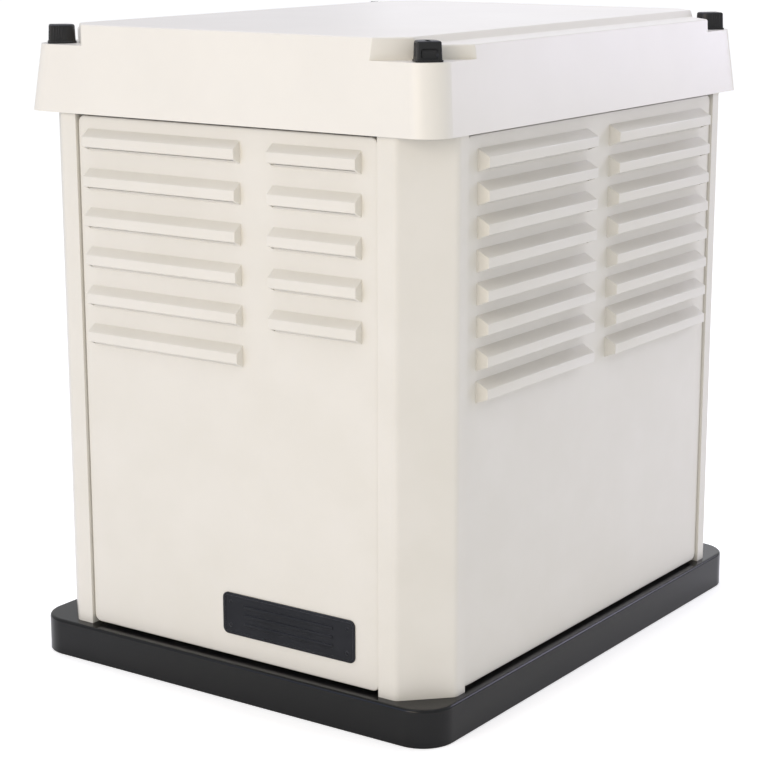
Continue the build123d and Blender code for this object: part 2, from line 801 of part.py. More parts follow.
# ---- Crankshaft: journals, two webs with counterweights and the crank pin ----
web_gap = 24.0
web_thickness = 14.0
crank_nose = -140.0
nose_step = 3.0  # how much thinner the nose is
nose_end = crankcase_front - 10.0
web_half = 27.0
web_end = 22.0
crank_pin_radius = 16.0
with BuildPart() as crankshaft:
    with BuildSketch(along_y(crank_x, nose_end, crank_z)):
        Circle(journal_radius)
    extrude(amount=bore_centre_y - web_gap / 2 - nose_end)
    with BuildSketch(along_y(crank_x, bore_centre_y + web_gap / 2, crank_z)):
        Circle(journal_radius)
    extrude(amount=stator_front - bore_centre_y - web_gap / 2)
    with BuildSketch(along_y(crank_x, crank_nose, crank_z)):
        Circle(journal_radius - nose_step)
    extrude(amount=nose_end - crank_nose)
    for web_y in (bore_centre_y - web_gap / 2 - web_thickness, bore_centre_y + web_gap / 2):
        with BuildSketch(along_y(crank_x, web_y, crank_z)):
            Circle(web_swing)
            with Locations((0, web_swing / 2)):
                Rectangle(2 * web_swing, web_swing, mode=Mode.SUBTRACT)
            with Locations((0, stroke / 4)):
                RectangleRounded(2 * web_half, stroke / 2 + 2 * web_end, 20)
        extrude(amount=web_thickness)
    with BuildSketch(along_y(crank_x, bore_centre_y - web_gap / 2, crank_z + stroke / 2)):
        Circle(crank_pin_radius)
    extrude(amount=web_gap)
finish(crankshaft.part, "crankshaft")

# ---- Flywheel with its fan ----
disc_front = -95.0
disc_thickness = 20.0
rim_length = 17.0
rim_thickness = 18.0
hub_front = -135.0
hub_radius = 30.0
hub_length = 70.0
blade_front = -125.0
blade_length = 56.0
blade_thickness = 3.0
blade_lean = 14.0
blade_middle = 34.0
with BuildPart() as flywheel:
    with BuildSketch(along_y(crank_x, disc_front, crank_z)):
        Circle(flywheel_radius)
    extrude(amount=disc_thickness)
    with BuildSketch(along_y(crank_x, disc_front + disc_thickness, crank_z)):
        Circle(flywheel_radius)
        Circle(flywheel_radius - rim_thickness, mode=Mode.SUBTRACT)
    extrude(amount=rim_length)
    with BuildSketch(along_y(crank_x, hub_front, crank_z)):
        Circle(hub_radius)
    extrude(amount=hub_length)
    with BuildSketch(along_y(crank_x, blade_front, crank_z)):
        for blade in range(fan_blades):
            turn = 360 / fan_blades * blade
            with Locations(Location((0, 0, 0), (0, 0, turn))):
                with Locations((flywheel_radius - blade_middle, 0)):
                    Rectangle(blade_length, blade_thickness, rotation=blade_lean)
    extrude(amount=disc_front - blade_front + 1)
    with BuildSketch(along_y(crank_x, hub_front - 1, crank_z)):
        Circle(journal_radius - nose_step + snug)
    extrude(amount=hub_length + 10, mode=Mode.SUBTRACT)
finish(flywheel.part, "flywheel")

# ---- Blower housing: a drum round the fan with a duct up to the cylinder ----
duct_half = 70.0
duct_top = 445.0
coil_y = -85.0
intake_lip = 5.0
with BuildPart() as blower_housing:
    with BuildSketch(along_y(crank_x, housing_front, crank_z)):
        Circle(housing_radius)
        with Locations((0, (duct_top - crank_z) / 2)):
            Rectangle(2 * duct_half, duct_top - crank_z)
    extrude(amount=housing_rear - housing_front)
    w = housing_wall
    with BuildSketch(along_y(crank_x, housing_front + w, crank_z)):
        Circle(housing_radius - w)
        with Locations((0, (duct_top - crank_z - w) / 2)):
            Rectangle(2 * (duct_half - w), duct_top - crank_z - w)
    extrude(amount=housing_rear - housing_front, mode=Mode.SUBTRACT)
    with BuildSketch(along_y(crank_x, housing_front - 1, crank_z)):
        Circle(intake_radius - intake_lip)
    extrude(amount=w + 2, mode=Mode.SUBTRACT)
    with BuildSketch(Plane.XY.offset(duct_top - 2 * w)):
        with Locations((crank_x, coil_y)):
            Circle(lead_radius + 2)
    extrude(amount=4 * w, mode=Mode.SUBTRACT)
finish(blower_housing.part, "blower_housing")

# ---- Starter motor, spark plug and ignition coil ----
starter_x = crank_x - 123
starter_z = crank_z + 45
starter_radius = 34.0
starter_front = -35.0
starter_length = 130.0
drive_radius = 24.0
starter_lug = 26.0
terminal_place = 60.0
with BuildPart() as starter_motor:
    with BuildSketch(along_y(starter_x, starter_front, starter_z)):
        Circle(starter_radius)
    extrude(amount=starter_length)
    fillet(starter_motor.edges().sort_by(Axis.Y)[-1], radius=5)
    with BuildSketch(along_y(starter_x, crankcase_front, starter_z)):
        Circle(drive_radius)
    extrude(amount=20)
    with BuildSketch(along_y(starter_x, crankcase_front + 5, starter_z)):
        with Locations((-20, 0)):
            Rectangle(2 * (crank_x - crankcase_half_x - starter_x - 20), starter_lug)
    extrude(amount=starter_lug)
    with BuildSketch(along_x(starter_x - starter_radius - 10, terminal_place, starter_z)):
        Circle(5)
    extrude(amount=20)
finish(starter_motor.part, "starter_motor")

plug_y = bore_centre_y - head_half
plug_thread = 34.0
plug_hex = 10.0
insulator_radius = 6.0
insulator_length = 30.0
with BuildPart() as spark_plug:
    with BuildSketch(along_y(crank_x, plug_y, port_z)):
        Circle(plug_radius)
    extrude(amount=plug_thread)
    with BuildSketch(along_y(crank_x, plug_y - plug_hex, port_z)):
        RegularPolygon(plug_hex, 6)
    extrude(amount=plug_hex)
    with BuildSketch(along_y(crank_x, plug_y - plug_hex - insulator_length, port_z)):
        Circle(insulator_radius)
    extrude(amount=insulator_length)
finish(spark_plug.part, "spark_plug")

coil_low = crank_z + flywheel_radius + 4
coil_width = 46.0
coil_depth = 40.0
coil_height = 20.0
bracket_width = 20.0
bracket_sheet = 7.0
bracket_overlap = 18.0
boot_radius = 11.0
boot_bore = 6.2
boot_gap = 11.0
with BuildPart() as ignition_coil:
    with BuildSketch(Plane.XY.offset(coil_low)):
        with Locations((crank_x, coil_y + 10)):
            Rectangle(coil_width, coil_depth)
    extrude(amount=coil_height)
    with BuildSketch(Plane.XY.offset(deck_z - bracket_overlap)):
        with Locations((crank_x, crankcase_front - bracket_sheet / 2)):
            Rectangle(bracket_width, bracket_sheet)
    extrude(amount=coil_low - deck_z + bracket_overlap + 4)
    with BuildSketch(Plane.XY.offset(coil_low + coil_height)):
        with Locations((crank_x, coil_y)):
            Circle(lead_radius)
    extrude(amount=port_z - coil_low - coil_height)
    with BuildSketch(along_y(crank_x, coil_y - 10, port_z)):
        Circle(boot_radius)
    extrude(amount=plug_y - boot_gap - coil_y + 10)
    with BuildSketch(along_y(crank_x, plug_y - boot_gap - insulator_length, port_z)):
        Circle(boot_bore)
    extrude(amount=boot_gap + insulator_length, mode=Mode.SUBTRACT)
finish(ignition_coil.part, "ignition_coil")

# ---- Gas mixer and air filter ----
mixer_end = crank_x - head_half - mixer_length
nipple_x = mixer_end + mixer_length / 2
mixer_flange = 6.0
mixer_flange_width = 64.0
mixer_flange_height = 50.0
nipple_height = 16.0
nipple_boss = 13.0
with BuildPart() as mixer:
    with BuildSketch(along_x(mixer_end, bore_centre_y, port_z)):
        Circle(mixer_radius)
    extrude(amount=mixer_length)
    for flange_x in (mixer_end, mixer_end + mixer_length - mixer_flange):
        with BuildSketch(along_x(flange_x, bore_centre_y, port_z)):
            RectangleRounded(mixer_flange_width, mixer_flange_height, 12)
        extrude(amount=mixer_flange)
    with BuildSketch(Plane.XY.offset(port_z)):
        with Locations((nipple_x, bore_centre_y)):
            Circle(hose_radius - 3)
    extrude(amount=mixer_radius + nipple_height)
    with BuildSketch(Plane.XY.offset(port_z)):
        with Locations((nipple_x, bore_centre_y)):
            Circle(nipple_boss)
    extrude(amount=mixer_radius + 3)
    with BuildSketch(along_x(mixer_end, bore_centre_y, port_z)):
        Circle(port_radius)
    extrude(amount=mixer_length, mode=Mode.SUBTRACT)
finish(mixer.part, "mixer")

filter_width = 85.0
filter_depth = 160.0
filter_low = 400.0
filter_high = 520.0
filter_lid_height = 25.0
filter_x = mixer_end - filter_width / 2
filter_wall = 3.0
filter_corner = 10.0
with BuildPart() as air_filter_box:
    with BuildSketch(Plane.XY.offset(filter_low)):
        with Locations((filter_x, bore_centre_y)):
            RectangleRounded(filter_width, filter_depth, filter_corner)
    extrude(amount=filter_high - filter_low)
    with BuildSketch(Plane.XY.offset(filter_low + filter_wall)):
        with Locations((filter_x, bore_centre_y)):
            RectangleRounded(
                filter_width - 2 * filter_wall, filter_depth - 2 * filter_wall, filter_corner - filter_wall
            )
    extrude(amount=filter_high - filter_low, mode=Mode.SUBTRACT)
    with BuildSketch(along_x(mixer_end - 5, bore_centre_y, port_z)):
        Circle(port_radius)
    extrude(amount=6, mode=Mode.SUBTRACT)
finish(air_filter_box.part, "air_filter_box")

element_side_gap = 7.0
element_end_gap = 3.0
element_top_gap = 10.0
with BuildPart() as air_filter_element:
    with BuildSketch(Plane.XY.offset(filter_low + filter_wall)):
        with Locations((filter_x - 6, bore_centre_y)):
            RectangleRounded(
                filter_width - 2 * (filter_wall + element_side_gap),
                filter_depth - 2 * (filter_wall + element_end_gap),
                6,
            )
    extrude(amount=filter_high - filter_low - filter_wall - element_top_gap)
finish(air_filter_element.part, "air_filter_element")

knob_radius = 12.0
knob_height = 8.0
knob_inset = 25.0
with BuildPart() as air_filter_lid:
    with BuildSketch(Plane.XY.offset(filter_high)):
        with Locations((filter_x, bore_centre_y)):
            RectangleRounded(filter_width, filter_depth, filter_corner)
    extrude(amount=filter_lid_height - knob_height)
    fillet(air_filter_lid.faces().sort_by(Axis.Z)[-1].edges(), radius=5)
    with BuildSketch(Plane.XY.offset(filter_high)):
        with Locations((filter_x, bore_centre_y)):
            with GridLocations(0, filter_depth - 2 * knob_inset, 1, 2):
                Circle(knob_radius)
    extrude(amount=filter_lid_height)
finish(air_filter_lid.part, "air_filter_lid")

# ---- Oil filter and dipstick ----
can_radius = 34.0
can_length = 80.0
can_rounding = 8.0
can_neck = 12.0
can_z = crank_z - 62.0
with BuildPart() as oil_filter:
    with BuildSketch(along_x(crank_x + crankcase_half_x + 3, bore_centre_y - 5, can_z)):
        Circle(can_radius)
    extrude(amount=can_length)
    fillet(oil_filter.faces().sort_by(Axis.X)[-1].edges(), radius=can_rounding)
    with BuildSketch(along_x(crank_x + crankcase_half_x, bore_centre_y - 15, can_z)):
        Circle(can_neck)
    extrude(amount=10)
finish(oil_filter.part, "oil_filter")

dipstick_x = crank_x + crankcase_half_x + filler_reach
cap_radius = 16.0
cap_height = 10.0
cap_grip = 12.0
cap_plug = 8.4
blade_drop = 90.0
with BuildPart() as dipstick:
    with BuildSketch(Plane.XY.offset(crank_z + filler_high)):
        with Locations((dipstick_x, filler_y)):
            Circle(cap_radius)
    extrude(amount=cap_height)
    with BuildSketch(Plane.XY.offset(crank_z + filler_high + cap_height)):
        with Locations((dipstick_x, filler_y)):
            RectangleRounded(26, 8, 3)
    extrude(amount=cap_grip)
    with BuildSketch(Plane.XY.offset(crank_z + filler_high)):
        with Locations((dipstick_x, filler_y)):
            Circle(cap_plug)
    extrude(amount=-cap_grip)
    with BuildSketch(Plane.XY.offset(crank_z + filler_high - cap_grip)):
        with Locations((dipstick_x, filler_y)):
            Rectangle(5, 2)
    extrude(amount=-blade_drop)
finish(dipstick.part, "dipstick")

# ---- Exhaust: a straight pipe and an oval muffler with its tail pipe ----
muffler_x = 170.0
muffler_front = -100.0
tail_end = 366.0
bracket_y = -30.0
bracket_start = crank_x + 64.0
pipe_wall = 2.0
exhaust_flange = 8.0
exhaust_flange_width = 62.0
exhaust_flange_height = 40.0
with BuildPart() as exhaust_pipe:
    with BuildSketch(along_x(crank_x + head_half, bore_centre_y, port_z)):
        RectangleRounded(exhaust_flange_width, exhaust_flange_height, 12)
    extrude(amount=exhaust_flange)
    with BuildSketch(along_x(crank_x + head_half, bore_centre_y, port_z)):
        Circle(port_radius + pipe_wall)
    extrude(amount=muffler_x - muffler_width / 2 - crank_x - head_half)
    with BuildSketch(along_x(crank_x + head_half, bore_centre_y, port_z)):
        Circle(port_radius)
    extrude(amount=muffler_width, mode=Mode.SUBTRACT)
finish(exhaust_pipe.part, "exhaust_pipe")

muffler_corner = 50.0
seam_stand = 2.5
seam_width = 4.0
tail_radius = 20.0
tail_inside = 220.0
muffler_bracket = 26.0
muffler_bracket_sheet = 3.0
with BuildPart() as muffler:
    with BuildSketch(along_y(muffler_x, muffler_front, port_z)):
        RectangleRounded(muffler_width, muffler_height, muffler_corner)
    extrude(amount=muffler_length)
    for seam_y in (muffler_front + 2 * seam_width, muffler_front + muffler_length - 3 * seam_width):
        with BuildSketch(along_y(muffler_x, seam_y, port_z)):
            RectangleRounded(
                muffler_width + 2 * seam_stand, muffler_height + 2 * seam_stand, muffler_corner + seam_stand
            )
        extrude(amount=seam_width)
    with BuildSketch(along_y(muffler_x, muffler_front + muffler_length, port_z)):
        Circle(tail_radius)
    extrude(amount=tail_end - muffler_front - muffler_length)
    with BuildSketch(Plane.XY.offset(deck_z)):
        with Locations(((bracket_start + muffler_x) / 2, bracket_y)):
            Rectangle(muffler_x - bracket_start, muffler_bracket)
    extrude(amount=muffler_bracket_sheet)
    with BuildSketch(Plane.XY.offset(deck_z)):
        with Locations((muffler_x - muffler_bracket_sheet / 2, bracket_y)):
            Rectangle(muffler_bracket_sheet, muffler_bracket)
    extrude(amount=port_z - muffler_height / 2 + 1 - deck_z)
    with BuildSketch(along_y(muffler_x, muffler_front + muffler_wall, port_z)):
        RectangleRounded(
            muffler_width - 2 * muffler_wall, muffler_height - 2 * muffler_wall, muffler_corner - muffler_wall
        )
    extrude(amount=muffler_length - 2 * muffler_wall, mode=Mode.SUBTRACT)
    with BuildSketch(along_y(muffler_x, tail_end - tail_inside, port_z)):
        Circle(tail_radius - muffler_wall)
    extrude(amount=tail_inside + 1, mode=Mode.SUBTRACT)
    with BuildSketch(along_x(muffler_x - muffler_width / 2 - 1, bore_centre_y, port_z)):
        Circle(port_radius)
    extrude(amount=10, mode=Mode.SUBTRACT)
finish(muffler.part, "muffler")

# ---- Alternator ----
stator_ribs = 8
stator_rib_radius = 8.0
saddle_height = 34.0
saddle_inset = 30.0
with BuildPart() as stator:
    with BuildSketch(along_y(crank_x, stator_front, crank_z)):
        Circle(stator_radius)
        with PolarLocations(stator_radius, stator_ribs, start_angle=180 / stator_ribs):
            Circle(stator_rib_radius)
        Circle(stator_bore, mode=Mode.SUBTRACT)
    extrude(amount=stator_rear - stator_front)
    with BuildSketch(Plane.XY.offset(engine_z)):
        with Locations((crank_x, isolator_rear)):
            Rectangle(2 * rail_half_span + 2 * isolator_radius, 2 * isolator_radius - 4)
    extrude(amount=foot_thickness)
    with BuildSketch(Plane.XY.offset(engine_z + foot_thickness)):
        with Locations((crank_x, isolator_rear)):
            Rectangle(2 * (rail_half_span - saddle_inset), 2 * isolator_radius - 4)
        with Locations((crank_x, isolator_rear)):
            Rectangle(2 * (rail_half_span - saddle_inset - 10), 2 * isolator_radius, mode=Mode.SUBTRACT)
    extrude(amount=saddle_height)
finish(stator.part, "stator")

coil_inset = 3.0  # from the stator's bore to the end turns
coil_thickness = 12.0
coil_front_length = 12.0
coil_rear_length = 18.0
coil_rounding = 5.0
with BuildPart() as stator_windings:
    for coil_front, coil_length in (
        (stator_front - coil_front_length, coil_front_length),
        (stator_rear, coil_rear_length),
    ):
        with BuildSketch(along_y(crank_x, coil_front, crank_z)):
            Circle(stator_bore + coil_inset + coil_thickness)
            Circle(stator_bore + coil_inset, mode=Mode.SUBTRACT)
        extrude(amount=coil_length)
    ends = stator_windings.edges().filter_by(GeomType.CIRCLE)
    outer_ends = ends.filter_by(lambda edge: edge.radius > stator_bore + coil_thickness)
    fillet(outer_ends, radius=coil_rounding)
finish(stator_windings.part, "stator_windings")

rotor_hub = 8.0
rotor_end_gap = 6.0
pole_count = 4
pole_gap = 26.0
pole_depth = 30.0
slip_pitch = 8.0
slip_width = 5.0
slip_step = 6.0
with BuildPart() as rotor:
    with BuildSketch(along_y(crank_x, stator_front, crank_z)):
        Circle(journal_radius + rotor_hub)
    extrude(amount=stator_rear - stator_front + rotor_end_gap)
    with BuildSketch(along_y(crank_x, stator_front + rotor_end_gap, crank_z)):
        Circle(stator_bore - air_gap)
        with PolarLocations(stator_bore + 4, pole_count):
            Rectangle(pole_gap, pole_depth, mode=Mode.SUBTRACT)
    extrude(amount=stator_rear - stator_front - 2 * rotor_end_gap)
    with BuildSketch(along_y(crank_x, stator_rear, crank_z)):
        Circle(journal_radius)
    extrude(amount=end_bell_rear - 2 - stator_rear)
    for slip_y in (stator_rear + slip_pitch, stator_rear + 2 * slip_pitch):
        with BuildSketch(along_y(crank_x, slip_y, crank_z)):
            Circle(journal_radius + slip_step)
        extrude(amount=slip_width)
finish(rotor.part, "rotor")

bell_wall = 8.0
bell_plate = 17.0
bell_windows = 8
bell_window_radius = 72.0
bell_window_length = 50.0
bell_window_width = 16.0
with BuildPart() as end_bell:
    with BuildSketch(along_y(crank_x, stator_rear, crank_z)):
        Circle(stator_radius)
        Circle(stator_radius - bell_wall, mode=Mode.SUBTRACT)
    extrude(amount=end_bell_rear - stator_rear)
    with BuildSketch(along_y(crank_x, end_bell_rear - bell_plate, crank_z)):
        Circle(stator_radius)
        with PolarLocations(bell_window_radius, bell_windows):
            Rectangle(bell_window_length, bell_window_width, mode=Mode.SUBTRACT)
        Circle(bearing_radius + snug, mode=Mode.SUBTRACT)
    extrude(amount=bell_plate)
    fillet(end_bell.edges().filter_by(GeomType.CIRCLE).sort_by(Axis.Y)[-1], radius=1)
finish(end_bell.part, "end_bell")

with BuildPart() as rotor_bearing:
    with BuildSketch(along_y(crank_x, end_bell_rear - bell_plate, crank_z)):
        Circle(bearing_radius)
        Circle(journal_radius + running, mode=Mode.SUBTRACT)
    extrude(amount=bell_plate - 2)
finish(rotor_bearing.part, "rotor_bearing")

# ---- Battery, strap and leads ----
battery_mid_y = battery_front + battery_depth / 2
battery_seam_drop = 30.0
battery_post_radius = 9.0
battery_post_height = 16.0
battery_post_inset = 25.0
battery_post_y = 60.0  # from the battery's middle
with BuildPart() as battery:
    with BuildSketch(Plane.XY.offset(bolt_floor)):
        with Locations((battery_x, battery_mid_y)):
            RectangleRounded(battery_width, battery_depth, 6)
    extrude(amount=battery_height)
    with BuildSketch(Plane.XY.offset(bolt_floor + battery_height - battery_seam_drop)):
        with Locations((battery_x, battery_mid_y)):
            RectangleRounded(battery_width, battery_depth, 6)
            RectangleRounded(battery_width - 3, battery_depth - 3, 5, mode=Mode.SUBTRACT)
    extrude(amount=2, mode=Mode.SUBTRACT)
    with BuildSketch(Plane.XY.offset(battery_top)):
        with Locations((battery_x, battery_mid_y + battery_post_y)):
            with GridLocations(battery_width - 2 * battery_post_inset, 0, 2, 1):
                Circle(battery_post_radius)
    extrude(amount=battery_post_height)
finish(battery.part, "battery")

with BuildPart() as battery_strap:
    t = strap_thickness
    strap_plane = along_y(battery_x, battery_mid_y - strap_width / 2, bolt_floor + (battery_height + t) / 2)
    with BuildSketch(strap_plane):
        Rectangle(battery_width + 2 * t + 2 * soft_gap, battery_height + t)
        with Locations((0, -t / 2)):
            Rectangle(battery_width + 2 * soft_gap, battery_height, mode=Mode.SUBTRACT)
    extrude(amount=strap_width)
    with BuildSketch(Plane.XY.offset(bolt_floor)):
        for side in (-1, 1):
            with Locations((battery_x + side * (battery_width / 2 + t + 8), battery_mid_y)):
                Rectangle(20, strap_width)
    extrude(amount=t)
finish(battery_strap.part, "battery_strap")

positive_post = battery_x - battery_width / 2 + battery_post_inset
negative_post = battery_x + battery_width / 2 - battery_post_inset
negative_drop = battery_x + battery_width / 2 + battery_post_inset
terminal_y = battery_mid_y + battery_post_y
lead_bend = 22.0
lead_top = battery_top + 90
positive_route = (
    (positive_post, terminal_y, battery_top + battery_post_height),
    (positive_post, terminal_y, lead_top),
    (positive_hole[0], terminal_y - 30, lead_top - 10),
    (positive_hole[0], bulkhead_y + 30, positive_hole[1]),
    (positive_hole[0] - 8, terminal_place, starter_z + 50),
    (starter_x - starter_radius - 12 - lead_radius, terminal_place, starter_z),
)
negative_route = (
    (negative_post, terminal_y, battery_top + battery_post_height),
    (negative_post, terminal_y, battery_top + 70),
    (negative_drop, terminal_y - 10, battery_top + 60),
    (negative_drop, terminal_y - 10, bolt_floor),
)
with BuildPart() as battery_leads:
    for route in (positive_route, negative_route):
        with BuildLine() as path:
            FilletPolyline(*route, radius=lead_bend)
        start_direction = path.line % 0
        with BuildSketch(Plane(origin=route[0], z_dir=start_direction)):
            Circle(lead_radius)
        sweep(path=path.line)
finish(battery_leads.part, "battery_leads")

# ---- Control box, its face and the controls on it ----
box_rear = bulkhead_y
face_plane = Plane(origin=(box_x, box_front, (box_low + box_high) / 2), x_dir=(1, 0, 0), z_dir=(0, -1, 0))
rocker_place = (-60.0, 50.0)
breaker_place = (40.0, 10.0)
lamp_place = (-60.0, -30.0)
box_corner = 6.0
with BuildPart() as control_box:
    with BuildSketch(face_plane):
        RectangleRounded(box_width, box_high - box_low, box_corner)
    extrude(amount=-(box_rear - box_front))
    with BuildSketch(face_plane):
        RectangleRounded(box_width - 2 * box_wall, box_high - box_low - 2 * box_wall, box_corner - box_wall)
    extrude(amount=-(box_rear - box_front - box_wall), mode=Mode.SUBTRACT)
finish(control_box.part, "control_box")

bezel_width = 4.0
bezel_height = 2.0
rocker_gap = 2.0
breaker_gap = 0.2
rocker_hole_x = 2 * (rocker_half_x + rocker_gap)
rocker_hole_z = 2 * (rocker_half_z + rocker_gap)
breaker_hole_x = 2 * (breaker_half_x + breaker_gap)
breaker_hole_z = 2 * (breaker_half_z + breaker_gap)
with BuildPart() as control_face:
    with BuildSketch(face_plane):
        RectangleRounded(box_width, box_high - box_low, box_corner)
        with Locations(rocker_place):
            Rectangle(rocker_hole_x, rocker_hole_z, mode=Mode.SUBTRACT)
        with Locations(breaker_place):
            Rectangle(breaker_hole_x, breaker_hole_z, mode=Mode.SUBTRACT)
        with Locations(lamp_place):
            Circle(lamp_radius + 0.1, mode=Mode.SUBTRACT)
    extrude(amount=box_wall)
    with BuildSketch(face_plane.offset(box_wall)):
        with Locations(rocker_place):
            RectangleRounded(rocker_hole_x + 2 * bezel_width, rocker_hole_z + 2 * bezel_width, 3)
            Rectangle(rocker_hole_x, rocker_hole_z, mode=Mode.SUBTRACT)
    extrude(amount=bezel_height)
finish(control_face.part, "control_face")

# the rocker tips about a horizontal axis just behind the face
with BuildPart() as mode_rocker:
    with BuildSketch(
        Plane(
            origin=(
                box_x + rocker_place[0] - rocker_half_x,
                box_front,
                (box_low + box_high) / 2 + rocker_place[1],
            ),
            x_dir=(0, -1, 0),
            z_dir=(1, 0, 0),
        )
    ) as rocker_section:
        with BuildLine():
            Polyline(
                (-8, rocker_half_z - 3),
                (4, rocker_half_z),
                (8, rocker_half_z - 1),
                (4.5, 0),
                (8, 1 - rocker_half_z),
                (4, -rocker_half_z),
                (-8, 3 - rocker_half_z),
                close=True,
            )
        make_face()
    extrude(amount=2 * rocker_half_x)
finish(mode_rocker.part, "mode_rocker")

toggle_swing = 14.0
breaker_stand = 6.0  # how far the breaker stands out of the face
breaker_depth = 60.0
toggle_well = 22.0
with BuildPart() as breaker:
    with BuildSketch(face_plane.offset(breaker_stand)):
        with Locations(breaker_place):
            Rectangle(2 * breaker_half_x, 2 * breaker_half_z)
    extrude(amount=-breaker_depth)
    with BuildSketch(face_plane.offset(breaker_stand)):
        with Locations(breaker_place):
            Rectangle(2 * toggle_half_x + 1, 2 * toggle_swing + 10)
    extrude(amount=-toggle_well, mode=Mode.SUBTRACT)
finish(breaker.part, "breaker")

toggle_boss = 7.0
toggle_length = 22.0
with BuildPart() as breaker_toggle:
    toggle_axis = Plane(
        origin=(
            box_x + breaker_place[0] - toggle_half_x,
            box_front + breaker_stand,
            (box_low + box_high) / 2 + breaker_place[1],
        ),
        x_dir=(0, -1, 0),
        z_dir=(1, 0, 0),
    )
    with BuildSketch(toggle_axis):
        Circle(toggle_boss)
        with Locations((toggle_length / 2, 0)):
            Rectangle(toggle_length, toggle_boss)
    extrude(amount=2 * toggle_half_x)
finish(breaker_toggle.part, "breaker_toggle")

with BuildPart() as status_lamp:
    with BuildSketch(face_plane.offset(-6)):
        with Locations(lamp_place):
            Circle(lamp_radius)
    extrude(amount=12)
    fillet(status_lamp.faces().sort_by(Axis.Y)[0].edges(), radius=2.5)
finish(status_lamp.part, "status_lamp")

# ---- Fuel regulator, inlet and hose ----
regulator_x = -185.0
regulator_z = 135.0
regulator_radius = 46.0
regulator_half = 22.0
regulator_rim = 52.0
outlet_height = 60.0
outlet_radius = 13.0
regulator_port = 62.0  # from the regulator's middle to its inlet
regulator_foot = 4.0
with BuildPart() as fuel_regulator:
    with BuildSketch(along_y(regulator_x, inlet_y - regulator_half, regulator_z)):
        Circle(regulator_radius)
    extrude(amount=2 * regulator_half)
    rims = fuel_regulator.edges().filter_by(GeomType.CIRCLE)
    fillet(rims, radius=5)
    with BuildSketch(along_y(regulator_x, inlet_y - 3, regulator_z)):
        Circle(regulator_rim)
    extrude(amount=6)
    with BuildSketch(Plane.XY.offset(bolt_floor)):
        with Locations((regulator_x, inlet_y)):
            RectangleRounded(90, 60, 6)
    extrude(amount=regulator_foot)
    with BuildSketch(Plane.XY.offset(bolt_floor)):
        with Locations((regulator_x, inlet_y)):
            Rectangle(50, 30)
    extrude(amount=regulator_z - bolt_floor - 20)
    with BuildSketch(Plane.XY.offset(regulator_z)):
        with Locations((regulator_x, inlet_y)):
            Circle(outlet_radius)
    extrude(amount=outlet_height)
    with BuildSketch(along_x(regulator_x - regulator_port, inlet_y, inlet_z)):
        Circle(20)
    extrude(amount=40)
finish(fuel_regulator.part, "fuel_regulator")

inlet_stand = 12.0  # how far the inlet stands out of the panel
inlet_end = -(panel_face_x + inlet_stand)
with BuildPart() as fuel_inlet:
    with BuildSketch(along_x(inlet_end, inlet_y, inlet_z)):
        Circle(inlet_radius)
    extrude(amount=regulator_x - regulator_port - inlet_end)
    with BuildSketch(along_x(inlet_end, inlet_y, inlet_z)):
        Circle(inlet_bore)
    extrude(amount=30, mode=Mode.SUBTRACT)
finish(fuel_inlet.part, "fuel_inlet")

hose_start_z = regulator_z + outlet_height
hose_bend = 28.0
hose_route = (
    (regulator_x, inlet_y, hose_start_z),
    (regulator_x, inlet_y, hose_hole[1] - outlet_height),
    (hose_hole[0], bulkhead_y - 40, hose_hole[1]),
    (hose_hole[0], bulkhead_y + 60, hose_hole[1] + 2),
    (nipple_x, bore_centre_y, hose_hole[1] + 40),
    (nipple_x, bore_centre_y, port_z + mixer_radius + nipple_height),
)
with BuildPart() as fuel_hose:
    with BuildLine() as hose_path:
        FilletPolyline(*hose_route, radius=hose_bend)
    with BuildSketch(Plane(origin=hose_route[0], z_dir=hose_path.line % 0)):
        Circle(hose_radius)
    sweep(path=hose_path.line)
finish(fuel_hose.part, "fuel_hose")
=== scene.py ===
"""Home standby generator: the finished look of its enclosure and its engine bay.

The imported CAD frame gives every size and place. The louvred panels, the base pad, the
latches, the badge and the small fasteners are built here. The other pieces keep their CAD
shape and get the finish of what they are made of. Everything is in metres, in the CAD's
frame.
"""

import logging
import math
from collections.abc import Callable, Iterable
from dataclasses import dataclass, field
from enum import Enum

import bmesh
import bpy
from mathutils import Euler, Matrix, Vector


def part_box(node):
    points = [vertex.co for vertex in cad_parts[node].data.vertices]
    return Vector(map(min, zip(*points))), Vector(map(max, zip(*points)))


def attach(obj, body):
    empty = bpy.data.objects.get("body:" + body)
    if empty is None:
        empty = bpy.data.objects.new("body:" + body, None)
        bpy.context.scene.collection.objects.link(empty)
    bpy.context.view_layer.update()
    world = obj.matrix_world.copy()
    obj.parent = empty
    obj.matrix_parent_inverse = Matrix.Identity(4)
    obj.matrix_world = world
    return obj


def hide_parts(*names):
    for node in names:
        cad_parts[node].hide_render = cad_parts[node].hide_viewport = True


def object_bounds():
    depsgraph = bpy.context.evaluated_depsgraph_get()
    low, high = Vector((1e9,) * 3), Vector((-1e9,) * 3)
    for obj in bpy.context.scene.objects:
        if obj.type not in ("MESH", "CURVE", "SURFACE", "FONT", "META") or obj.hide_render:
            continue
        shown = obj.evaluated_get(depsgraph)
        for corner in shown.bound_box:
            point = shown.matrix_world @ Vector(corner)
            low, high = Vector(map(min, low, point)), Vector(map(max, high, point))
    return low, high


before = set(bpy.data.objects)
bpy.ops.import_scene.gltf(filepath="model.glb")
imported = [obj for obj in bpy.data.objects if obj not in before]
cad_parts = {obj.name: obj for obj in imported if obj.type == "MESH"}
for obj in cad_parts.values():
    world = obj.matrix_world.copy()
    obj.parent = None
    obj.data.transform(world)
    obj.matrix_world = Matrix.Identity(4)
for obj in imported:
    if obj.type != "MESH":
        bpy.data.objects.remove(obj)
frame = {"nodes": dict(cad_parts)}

CAD_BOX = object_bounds()
MM = 0.001
LOG = logging.getLogger("standby_generator")

Point2 = tuple[float, float]
Point3 = tuple[float, float, float]

